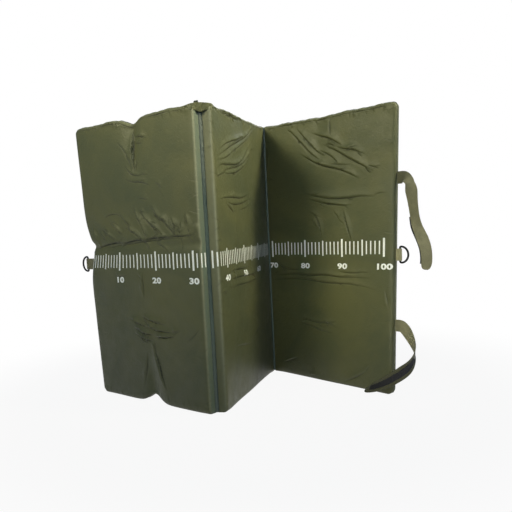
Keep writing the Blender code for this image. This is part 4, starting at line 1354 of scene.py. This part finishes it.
def make_tab(panel, frame, material):
    """The webbing tab: one piece that leaves the seam, goes round the ring's bar and comes back."""
    axis = joint_place(frame, f"{panel.name}_ring_swing")
    out, beside = outward_frame(panel)
    radius = RING_RADIUS + CLEARANCE + WEBBING_THICKNESS / 2
    reach = TAB_REACHES[panel.name] - RING_RADIUS - CLEARANCE - WEBBING_THICKNESS
    root = TAB_ROOT - reach
    layer = (WEBBING_THICKNESS + TAB_GAP) / 2
    line = [(x, layer) for x in np.linspace(root, -radius * TAB_PARTING, TAB_STEPS)]
    line += [(radius * cos(a), radius * sin(a)) for a in np.linspace(TAB_TURN, -TAB_TURN, TAB_TURN_STEPS)]
    line += [(x, -layer) for x in np.linspace(-radius * TAB_PARTING, root, TAB_STEPS)]
    line = np.array(line)
    up = np.array([0, 0, 1.0])
    frames = [(axis + out * x + beside * y, up, np.cross(out * ax + beside * ay, up))
              for (x, y), (ax, ay) in zip(line, unit(np.gradient(line, axis=0)))]
    tab = ribbon(f"{panel.name}_webbing_tab", frames, TAB_WIDTH, WEBBING_THICKNESS, material,
                 TAB_TONES[panel.name])
    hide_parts(f"{panel.name}_ring_tab")
    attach(tab, panel.body)


# Straps

STRAP_STEPS = 9
# The stub inside the seam: its frames, and how far in it starts and ends
STUB_STEPS = 8
ROOT_REACH = 0.009
STUB_END = 0.001
TAPE_WIDTH = 0.012
TAPE_THICKNESS = 0.0012
# How far before the strap's tip its tape ends, in stretches of its route, and how wide the very tip is
TAPE_END = 0.7
TIP_SHARE = 0.35


@dataclass
class Strap:
    """A fastening strap. The route leads out of the mat, out of its front and up from the hinge line, in
    widths of webbing, with the way that the width points there. The tones, which paint light and shade along
    it, the rolls about its own length in degrees and the shares of the full width are spread evenly from its
    root to its tip. The tape starts at a share of the route and lies off the middle by its shift."""
    name: str
    route: tuple
    tones: tuple
    rolls: tuple
    widths: tuple
    tip_round: float
    tape_start: float
    tape_shift: float


UPPER_STRAP = Strap(
    "upper_strap",
    route=(
        ((0.00, 0.00, 0.00), (0, 0, 1)),
        ((0.20, 0.00, 0.00), (0, 0, 1)),
        ((0.46, -0.02, -0.09), (0.38, 0, 0.92)),
        ((0.68, -0.04, -0.34), (0.75, 0, 0.66)),
        ((0.78, -0.08, -0.78), (0.96, 0.1, 0.25)),
        ((0.84, -0.12, -1.48), (0.98, 0.15, 0.05)),
        ((0.92, -0.16, -2.32), (0.98, 0.15, 0.1)),
        ((1.04, -0.24, -3.64), (0.98, 0.0, 0.1)),
        ((1.24, -0.34, -4.28), (0.8, -0.6, 0.15)),
        ((1.60, -0.48, -5.22), (0.75, -0.6, 0.3)),
        ((1.76, -0.60, -5.96), (0.72, -0.68, 0.1)),
        ((1.76, -0.68, -6.88), (0.72, -0.7, 0)),
        ((1.62, -0.68, -7.56), (0.72, -0.7, -0.1)),
    ),
    # Painted light and shade: dark at the root, paler where the strap turns to the light towards its tip
    tones=(0.0, 0.0, 0.02, 0.20, 0.34, 0.36, 0.36, 0.36, 0.50, 0.60, 0.62, 0.60, 0.60),
    rolls=(0, 0, -10, -46, -52, -30, -12, 0, 0, 0, 0, 0, 0),
    widths=(1.0, 1.0, 1.0, 0.9, 0.78, 0.94, 0.84, 0.80, 0.78, 0.92, 0.90, 0.88, 0.86),
    tip_round=0.016, tape_start=0.56, tape_shift=-0.0068)
LOWER_STRAP = Strap(
    "lower_strap",
    route=(
        ((0.00, 0.00, 0.00), (0, 0, 1)),
        ((0.22, 0.00, 0.00), (0, 0, 1)),
        ((0.58, 0.06, -0.22), (0.5, 0, 0.86)),
        ((1.10, 0.20, -0.90), (0.6, 0.2, 0.7)),
        ((1.58, 0.46, -1.62), (0.42, 0.45, 0.75)),
        ((1.78, 0.80, -2.14), (0.25, 0.68, 0.65)),
        ((1.66, 1.12, -2.68), (0.05, 0.68, 0.68)),
        ((1.24, 1.34, -3.30), (-0.25, 0.35, 0.85)),
        ((0.54, 1.44, -3.86), (-0.45, 0, 0.88)),
        ((-0.20, 1.46, -4.38), (-0.42, -0.25, 0.85)),
        ((-0.96, 1.46, -4.84), (-0.3, -0.5, 0.78)),
        ((-1.72, 1.44, -5.20), (-0.2, -0.75, 0.6)),
        ((-2.44, 1.40, -5.48), (-0.1, -0.95, 0.3)),
    ),
    # Painted light and shade: paler where the strap faces the light near its root, dark where it lies in
    # shade towards its tip
    tones=(0.3, 0.45, 0.6, 0.65, 0.6, 0.5, 0.2, 0.04, 0.0, 0.0, 0.02, 0.0, 0.0),
    rolls=(0, 0),
    widths=(1.0, 1.0, 1.0, 1.0, 0.95, 0.95, 1.0, 1.0, 1.0, 1.0, 1.0, 1.0, 1.0),
    tip_round=0.010, tape_start=0.45, tape_shift=0)


def strap_frames(design, axis):
    """Frames along a strap, from inside the right panel's seam to its tip."""
    out, beside = outward_frame(RIGHT)
    base = np.stack([out, -beside, np.array([0, 0, 1.0])])
    keys = np.array([[*point, *wide] for point, wide in design.route], float)
    keys[:, :3] *= WEBBING_WIDTH
    stub = [[x, 0, 0, 0, 0, 1] for x in np.linspace(-ROOT_REACH, -STUB_END, STUB_STEPS)]
    stations = np.concatenate([stub, spline(keys, STRAP_STEPS)])
    points = axis + stations[:, :3] @ base
    wides = stations[:, 3:] @ base
    tangents = unit(np.gradient(points, axis=0))
    across = unit(wides - tangents * (wides * tangents).sum(1, keepdims=True))
    normals = np.cross(tangents, across)
    turns = np.radians(along_line(design.rolls, len(points)))
    return [
        (point, wide * cos(turn) + normal * sin(turn), normal * cos(turn) - wide * sin(turn))
        for point, wide, normal, turn in zip(points, across, normals, turns)]


def strap_taper(design, frames):
    """Shares of the full width along a strap, rounded off towards its tip."""
    points = np.array([frame[0] for frame in frames])
    lengths = np.linalg.norm(np.diff(points, axis=0), axis=1)
    left = np.concatenate([np.cumsum(lengths[::-1])[::-1], [0]])
    share = np.clip(left / design.tip_round, 0, 1)
    tip = TIP_SHARE + (1 - TIP_SHARE) * np.sqrt(1 - (1 - share) ** 2)
    return along_line(design.widths, len(frames)) * tip


def make_strap(design, frame, webbing, hooks):
    """A fastening strap that is sewn in at the panel's edge, with its hook tape."""
    name = design.name
    axis = joint_place(frame, f"{name}_swing")
    frames = strap_frames(design, axis)
    strap = ribbon(f"{name}_webbing", frames, WEBBING_WIDTH, WEBBING_THICKNESS, webbing, design.tones,
                   taper=strap_taper(design, frames))
    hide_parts(name, f"{name}_root")
    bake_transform(strap)
    first = STUB_STEPS + round(design.tape_start * (len(design.route) - 1) * STRAP_STEPS)
    lift = (WEBBING_THICKNESS + TAPE_THICKNESS) / 2
    under = [(point - normal * lift, across, normal)
             for point, across, normal in frames[first:-round(TAPE_END * STRAP_STEPS)]]
    hook = ribbon(f"{name}_hooks", under, TAPE_WIDTH, TAPE_THICKNESS, hooks, shift=design.tape_shift,
                  ribs=False)
    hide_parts(f"{name}_hook_tape")
    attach(hook, f"{name}_end")


# Materials

def add_node(tree, kind, sockets=None, **settings):
    """A shader node with its settings, and its sockets linked or set."""
    node = tree.nodes.new(kind)
    for name, value in settings.items():
        setattr(node, name, value)
    for name, value in (sockets or {}).items():
        if isinstance(value, bpy.types.NodeSocket):
            tree.links.new(value, node.inputs[name])
        else:
            node.inputs[name].default_value = value
    return node


def connect(tree, shader, **sources):
    """Link sources to the shader's inputs."""
    for label, source in sources.items():
        tree.links.new(source, shader.inputs[label.replace("_", " ")])


def start_material(name, roughness, **sockets):
    """A Principled material whose even values sit on the shader itself."""
    material = bpy.data.materials.new(name)
    material.use_nodes = True
    tree = material.node_tree
    shader = tree.nodes["Principled BSDF"]
    shader.inputs["Roughness"].default_value = roughness
    for label, value in sockets.items():
        shader.inputs[label.replace("_", " ")].default_value = value
    return material, tree, shader


def arithmetic(tree, operation, *values):
    """The result of a sum on sockets or numbers."""
    return add_node(tree, "ShaderNodeMath", dict(enumerate(values)), operation=operation).outputs[0]


def blended(tree, share, *colors):
    """The colour that lies the given share of the way between two, each a socket or three numbers."""
    low, high = (color if isinstance(color, bpy.types.NodeSocket) else (*color, 1) for color in colors)
    node = add_node(tree, "ShaderNodeMix", {"Factor": share, 6: low, 7: high}, data_type="RGBA",
                    clamp_factor=True)
    return node.outputs[2]


def ramp(tree, source, low, high, start=0.3, end=0.7):
    """Colours between low and high as the source goes from start to end."""
    node = add_node(tree, "ShaderNodeValToRGB", {"Fac": source})
    stops = node.color_ramp.elements
    stops[0].position, stops[0].color = start, (*low, 1)
    stops[1].position, stops[1].color = end, (*high, 1)
    return node.outputs["Color"]


def spread(tree, source, low, high):
    """A number between low and high as the source goes from 0.25 to 0.75."""
    node = add_node(tree, "ShaderNodeMapRange", {
        "Value": source, "From Min": 0.25, "From Max": 0.75, "To Min": low, "To Max": high})
    return node.outputs["Result"]


def layer(tree, name, output="Vector"):
    """What a layer of the mesh says at a point. The cloth layer is where it lies on the cloth, in metres."""
    return add_node(tree, "ShaderNodeAttribute", attribute_name=name).outputs[output]


def noise(tree, vector, scale, detail=3.0, roughness=0.55, distortion=0.0):
    """A noise pattern, with the scale in waves a metre."""
    return add_node(tree, "ShaderNodeTexNoise", {
        "Vector": vector, "Scale": scale, "Detail": detail, "Roughness": roughness,
        "Distortion": distortion}).outputs["Fac"]


# How many radians of Blender's band texture fit in one unit
BAND_RATE = 20


def weave(tree, vector, threads):
    """Two crossed sets of threads, so many a metre."""
    sets = [
        add_node(tree, "ShaderNodeTexWave", {"Vector": vector, "Scale": threads * tau / BAND_RATE},
                 wave_type="BANDS", bands_direction=direction).outputs["Fac"]
        for direction in ("X", "Y")]
    return arithmetic(tree, "MAXIMUM", *sets)


def add_bump(tree, shader, height, distance, strength=1.0, under=None):
    """A bump of the given height in metres on the shader."""
    sockets = {"Height": height, "Distance": distance, "Strength": strength}
    if under is not None:
        sockets["Normal"] = under
    bump = add_node(tree, "ShaderNodeBump", sockets)
    tree.links.new(bump.outputs["Normal"], shader.inputs["Normal"])
    return bump.outputs["Normal"]


# Colours: a dark and a light one for each surface, and the paler one its tone layer takes it to, by wear and
# by painted light
OLIVE = ((0.064, 0.073, 0.034), (0.104, 0.104, 0.040))
# Pale olive for the rubbed walls and top, and for the painted highlights on the rims, the free edges and the
# lit flank above the left foot
WORN_AND_LIT_OLIVE = (0.22, 0.225, 0.15)
BINDING = ((0.022, 0.027, 0.014), (0.062, 0.068, 0.034))
# The pale binding is a painted highlight, with some wear, on the seams of the free edges
PALE_BINDING = ((0.22, 0.23, 0.16), (0.36, 0.37, 0.27))
WEB = ((0.022, 0.044, 0.036), (0.046, 0.076, 0.060))
PALE_WEB = ((0.095, 0.110, 0.082), (0.150, 0.165, 0.125))
KHAKI = ((0.040, 0.040, 0.018), (0.095, 0.092, 0.045))
PALE_KHAKI = ((0.26, 0.24, 0.13), (0.46, 0.43, 0.26))
HOOK_BLACK = ((0.030, 0.028, 0.033), (0.008, 0.008, 0.011))
INK = ((0.74, 0.76, 0.72), (0.93, 0.94, 0.92))
ENAMEL = ((0.003, 0.003, 0.004), (0.009, 0.009, 0.010))
WALL_TINT = (0.085, 0.125, 0.100)
# How dark the painted shade along a crease is in its middle, how wide in millimetres, and how deep in metres
CREASE_SHADE = 0.30
CREASE_WIDTH = 1.0
CREASE_DEPTH = 0.0009
# Depths of the bumps, in metres
CRUMPLE_DEPTH = 0.0011
WEAVE_DEPTH = 0.00006
HOOK_DEPTH = 0.0006
INK_DEPTH = 0.00008
ENAMEL_DEPTH = 0.0001


def crease_line(tree):
    """How deep in a crease a point is, from 0 beside it to its sharpness in its middle, and whether it is on
    the groove's blue-green wall."""
    parts = add_node(tree, "ShaderNodeSeparateXYZ", {"Vector": layer(tree, "crease")}).outputs
    away = arithmetic(tree, "POWER", arithmetic(tree, "ABSOLUTE", parts["X"]), 2.0)
    fall = arithmetic(tree, "EXPONENT", arithmetic(tree, "MULTIPLY", away, -1 / CREASE_WIDTH ** 2))
    return arithmetic(tree, "MULTIPLY", fall, parts["Y"]), parts["Z"]


def faded(tree, color, pale, flecks):
    """The colour, taken towards a paler one by the tone layer, which holds wear and painted light, and
    broken up by flecks.
    """
    broken = arithmetic(tree, "MULTIPLY", layer(tree, "tone", "Fac"), spread(tree, flecks, 0.7, 1.15))
    return blended(tree, broken, color, pale)


def coated_cloth():
    """Coated nylon: a fine weave under a semi-gloss film, a little crumpled, painted pale on its rims as a
    painted highlight, and darkened along its creases as painted shade.
    """
    material, tree, shader = start_material(
        "coated olive cloth", 0.5, Specular_IOR_Level=0.38, Sheen_Weight=0.05, Sheen_Roughness=0.4)
    where = layer(tree, "cloth")
    clouds = noise(tree, where, 7, detail=4, roughness=0.6, distortion=0.6)
    wear_and_highlight = noise(tree, where, 90, detail=5, roughness=0.65)
    film = noise(tree, where, 38, detail=4)
    crumple = noise(tree, where, 85, detail=5, roughness=0.6, distortion=1.2)
    color = faded(tree, ramp(tree, clouds, *OLIVE), WORN_AND_LIT_OLIVE, wear_and_highlight)
    line, wall = crease_line(tree)
    tinted = blended(tree, arithmetic(tree, "MULTIPLY", wall, spread(tree, wear_and_highlight, 0.4, 0.8)), color, WALL_TINT)
    # Painted shade: the cloth's colour is darkened along every crease
    shade = add_node(tree, "ShaderNodeMapRange", {"Value": line, "To Min": 1.0, "To Max": CREASE_SHADE})
    shaded = add_node(tree, "ShaderNodeVectorMath", {0: tinted, "Scale": shade.outputs["Result"]},
                      operation="SCALE")
    connect(tree, shader, Base_Color=shaded.outputs["Vector"], Roughness=spread(tree, film, 0.42, 0.58))
    under = add_bump(tree, shader, crumple, CRUMPLE_DEPTH, 0.6)
    under = add_bump(tree, shader, arithmetic(tree, "MULTIPLY", line, -1.0), CREASE_DEPTH, 1.0, under)
    add_bump(tree, shader, weave(tree, where, 1700), WEAVE_DEPTH, 0.6, under)
    return material


def woven_tape(name, colors, pale, threads, depth, roughness=0.7):
    """Woven webbing or binding, with ribs along it, dust in its weave, and taken towards a pale pair by its
    tone layer, which holds wear and painted light and shade.
    """
    material, tree, shader = start_material(name, roughness, Sheen_Weight=0.15)
    where = layer(tree, "cloth")
    wear = noise(tree, where, 60, detail=4)
    cross = weave(tree, where, threads)
    shade = arithmetic(tree, "MULTIPLY", spread(tree, wear, 0.75, 1.0), cross)
    color, pale_color = (ramp(tree, shade, *pair, 0.1, 1.0) for pair in (colors, pale))
    connect(tree, shader, Base_Color=faded(tree, color, pale_color, wear),
            Roughness=spread(tree, wear, roughness - 0.08, roughness + 0.1))
    add_bump(tree, shader, cross, depth, 0.8)
    return material


def hook_pile():
    """The black field of stiff hooks on a tape."""
    material, tree, shader = start_material("hook pile", 0.8)
    pile = add_node(tree, "ShaderNodeTexVoronoi", {"Vector": layer(tree, "cloth"), "Scale": 900})
    pile = pile.outputs["Distance"]
    connect(tree, shader, Base_Color=ramp(tree, pile, *HOOK_BLACK, 0.1, 0.6))
    add_bump(tree, shader, pile, HOOK_DEPTH, 0.9)
    return material


def print_ink():
    """White screen print, thin enough to show a little of the cloth's weave."""
    material, tree, shader = start_material("white print", 0.55)
    where = add_node(tree, "ShaderNodeTexCoord").outputs["Object"]
    flecks = noise(tree, where, 450, detail=5, roughness=0.7)
    connect(tree, shader, Base_Color=ramp(tree, flecks, *INK, 0.28, 0.46),
            Roughness=spread(tree, flecks, 0.45, 0.6))
    add_bump(tree, shader, flecks, INK_DEPTH, 0.4)
    return material


def black_enamel():
    """Dipped black enamel over steel wire, with a soft orange-peel and dull patches."""
    material, tree, shader = start_material(
        "black enamel", 0.3, Specular_IOR_Level=0.22, Coat_Weight=0.08, Coat_Roughness=0.3)
    where = add_node(tree, "ShaderNodeTexCoord").outputs["Object"]
    peel = noise(tree, where, 600, detail=2)
    connect(tree, shader, Base_Color=ramp(tree, peel, *ENAMEL),
            Roughness=spread(tree, noise(tree, where, 160), 0.22, 0.42))
    add_bump(tree, shader, peel, ENAMEL_DEPTH, 0.4)
    return material


# Stage

WHITE = (1, 1, 1, 1)
FLOOR_SIZE = 14.0
FLOOR_SHADE = 0.25
FLOOR_DROP = 0.0004
# How white the floor is by itself near the mat, and how far out it begins and ends to become all white
FLOOR_GLOW = 0.93
SHADOW_REACH = (0.45, 0.95)
SKY_COLOR = (0.27, 0.56, 1.0, 1)
SKY_STRENGTH = 0.28
# Lamps: name, place, what each looks at, size in metres, power in watts, colour, and spread in degrees
LAMPS = (
    ("key", (-1.35, -1.10, 1.42), (-0.02, 0.0, 0.86), (0.5, 0.5), 3.5, (1.0, 0.94, 0.60), 54),
    ("side", (1.70, -0.68, 1.66), (-0.16, -0.16, 0.98), (0.35, 0.35), 8.8, (1.0, 0.95, 0.64), 54),
    ("front", (0.1, -2.3, 1.4), (-0.07, -0.15, 0.56), (0.5, 0.5), 0.45, (1.0, 1.0, 0.90), 28),
    ("low", (-0.35, -1.9, 0.55), (0.30, -0.06, 0.20), (0.3, 0.3), 0.22, (1.0, 0.97, 0.80), 20),
    ("back", (0.4, 2.2, 1.6), (0, 0, 0.30), (1.6, 1.2), 20, (1.0, 1.0, 1.0)),
)


def make_camera():
    """The camera of the photograph."""
    data = bpy.data.cameras.new("camera")
    data.sensor_width = SENSOR_WIDTH
    data.lens = SENSOR_WIDTH * FOCAL_PIXELS / IMAGE_SIZE
    data.shift_x = (IMAGE_SIZE / 2 - IMAGE_CENTRE[0]) / IMAGE_SIZE
    data.shift_y = (IMAGE_CENTRE[1] - IMAGE_SIZE / 2) / IMAGE_SIZE
    camera = linked("camera", data)
    turn = Matrix.Rotation(-CAMERA_YAW, 4, "Z") @ Matrix.Rotation(pi / 2 - CAMERA_PITCH, 4, "X")
    turn = turn @ Matrix.Rotation(CAMERA_ROLL, 4, "Z")
    eye = Vector((*LEFT.origin, 0)) + Vector(CAMERA_OFFSET)
    camera.matrix_world = Matrix.Translation(eye) @ turn
    bpy.context.scene.camera = camera


def pale_material():
    """A pale surface that looks white to the camera and in reflections, and keeps the object's shadow."""
    material, tree, shader = start_material("pale floor", 0.9)
    shader.inputs["Base Color"].default_value = (FLOOR_SHADE, FLOOR_SHADE, FLOOR_SHADE, 1)
    shader.inputs["Specular IOR Level"].default_value = 0.0
    glow = add_node(tree, "ShaderNodeEmission", {"Color": WHITE, "Strength": 1.0})
    path = add_node(tree, "ShaderNodeLightPath").outputs
    seen = arithmetic(tree, "MAXIMUM", path["Is Camera Ray"], path["Is Glossy Ray"])
    seen = arithmetic(tree, "MAXIMUM", seen, path["Is Transmission Ray"])
    where = add_node(tree, "ShaderNodeTexCoord").outputs["Object"]
    distance = add_node(tree, "ShaderNodeVectorMath", {0: where}, operation="LENGTH").outputs["Value"]
    white = add_node(tree, "ShaderNodeMapRange", {
        "Value": distance, "From Min": SHADOW_REACH[0], "From Max": SHADOW_REACH[1],
        "To Min": FLOOR_GLOW, "To Max": 1.0}, interpolation_type="SMOOTHSTEP").outputs["Result"]
    blend = add_node(tree, "ShaderNodeMixShader", {
        "Fac": arithmetic(tree, "MULTIPLY", seen, white), 1: shader.outputs["BSDF"],
        2: glow.outputs["Emission"]})
    tree.links.new(blend.outputs["Shader"], tree.nodes["Material Output"].inputs["Surface"])
    return material


def make_floor():
    """A pale floor under the mat."""
    half = FLOOR_SIZE / 2
    corners = [(-half, -half, 0), (half, -half, 0), (half, half, 0), (-half, half, 0)]
    floor = new_object("floor", corners, [(0, 1, 2, 3)], pale_material())
    floor.location.z = -FLOOR_DROP


def make_world():
    """An even sky: white to the camera, and a soft blue as light."""
    world = bpy.data.worlds.new("studio")
    bpy.context.scene.world = world
    world.use_nodes = True
    tree = world.node_tree
    sky = tree.nodes["Background"]
    sky.inputs["Color"].default_value = SKY_COLOR
    sky.inputs["Strength"].default_value = SKY_STRENGTH
    white = add_node(tree, "ShaderNodeBackground", {"Color": WHITE, "Strength": 1.0})
    path = add_node(tree, "ShaderNodeLightPath")
    blend = add_node(tree, "ShaderNodeMixShader", {
        "Fac": path.outputs["Is Camera Ray"], 1: sky.outputs["Background"], 2: white.outputs["Background"]})
    tree.links.new(blend.outputs["Shader"], tree.nodes["World Output"].inputs["Surface"])


def add_lamp(name, place_at, aim, size, power, color, spread_angle=180):
    """A soft square lamp that looks at a point."""
    data = bpy.data.lights.new(name, "AREA")
    data.shape = "RECTANGLE"
    data.size, data.size_y = size
    data.energy = power
    data.color = color
    data.spread = radians(spread_angle)
    lamp = linked(name, data)
    lamp.location = place_at
    lamp.rotation_euler = (Vector(aim) - Vector(place_at)).to_track_quat("-Z", "Y").to_euler()


def main():
    """Dress the mat and light it."""
    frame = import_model()
    for panel in PANELS:
        panel.origin = tuple(joint_place(frame, panel.hinge)[:2])
    make_camera()

    cloth = coated_cloth()
    seam = woven_tape("seam binding", BINDING, PALE_BINDING, 2200, 0.00008)
    web = woven_tape("hinge web", WEB, PALE_WEB, 1700, 0.00008, 0.5)
    webbing = woven_tape("khaki webbing", KHAKI, PALE_KHAKI, 900, 0.00030)
    hooks = hook_pile()
    ink = print_ink()
    enamel = black_enamel()

    for panel in PANELS:
        front = make_covers(panel, cloth)
        make_seams(panel, seam)
        make_marks(panel, front, ink)
        make_numbers(panel, front, ink)
    make_web("fold_1_web", LEFT, MIDDLE, "back", ["fold_1_left_web", "fold_1_middle_web"], 5, web)
    make_web("fold_2_web", MIDDLE, RIGHT, "front", ["fold_2_middle_web", "fold_2_right_web"], 6, web)
    make_tail(seam)
    make_lip(cloth)
    for panel in (LEFT, RIGHT):
        make_ring(panel, frame, enamel)
        make_tab(panel, frame, webbing)
    for design in (UPPER_STRAP, LOWER_STRAP):
        make_strap(design, frame, webbing, hooks)

    make_floor()
    make_world()
    for lamp in LAMPS:
        add_lamp(*lamp)
    bpy.context.scene.view_settings.view_transform = "Standard"


main()
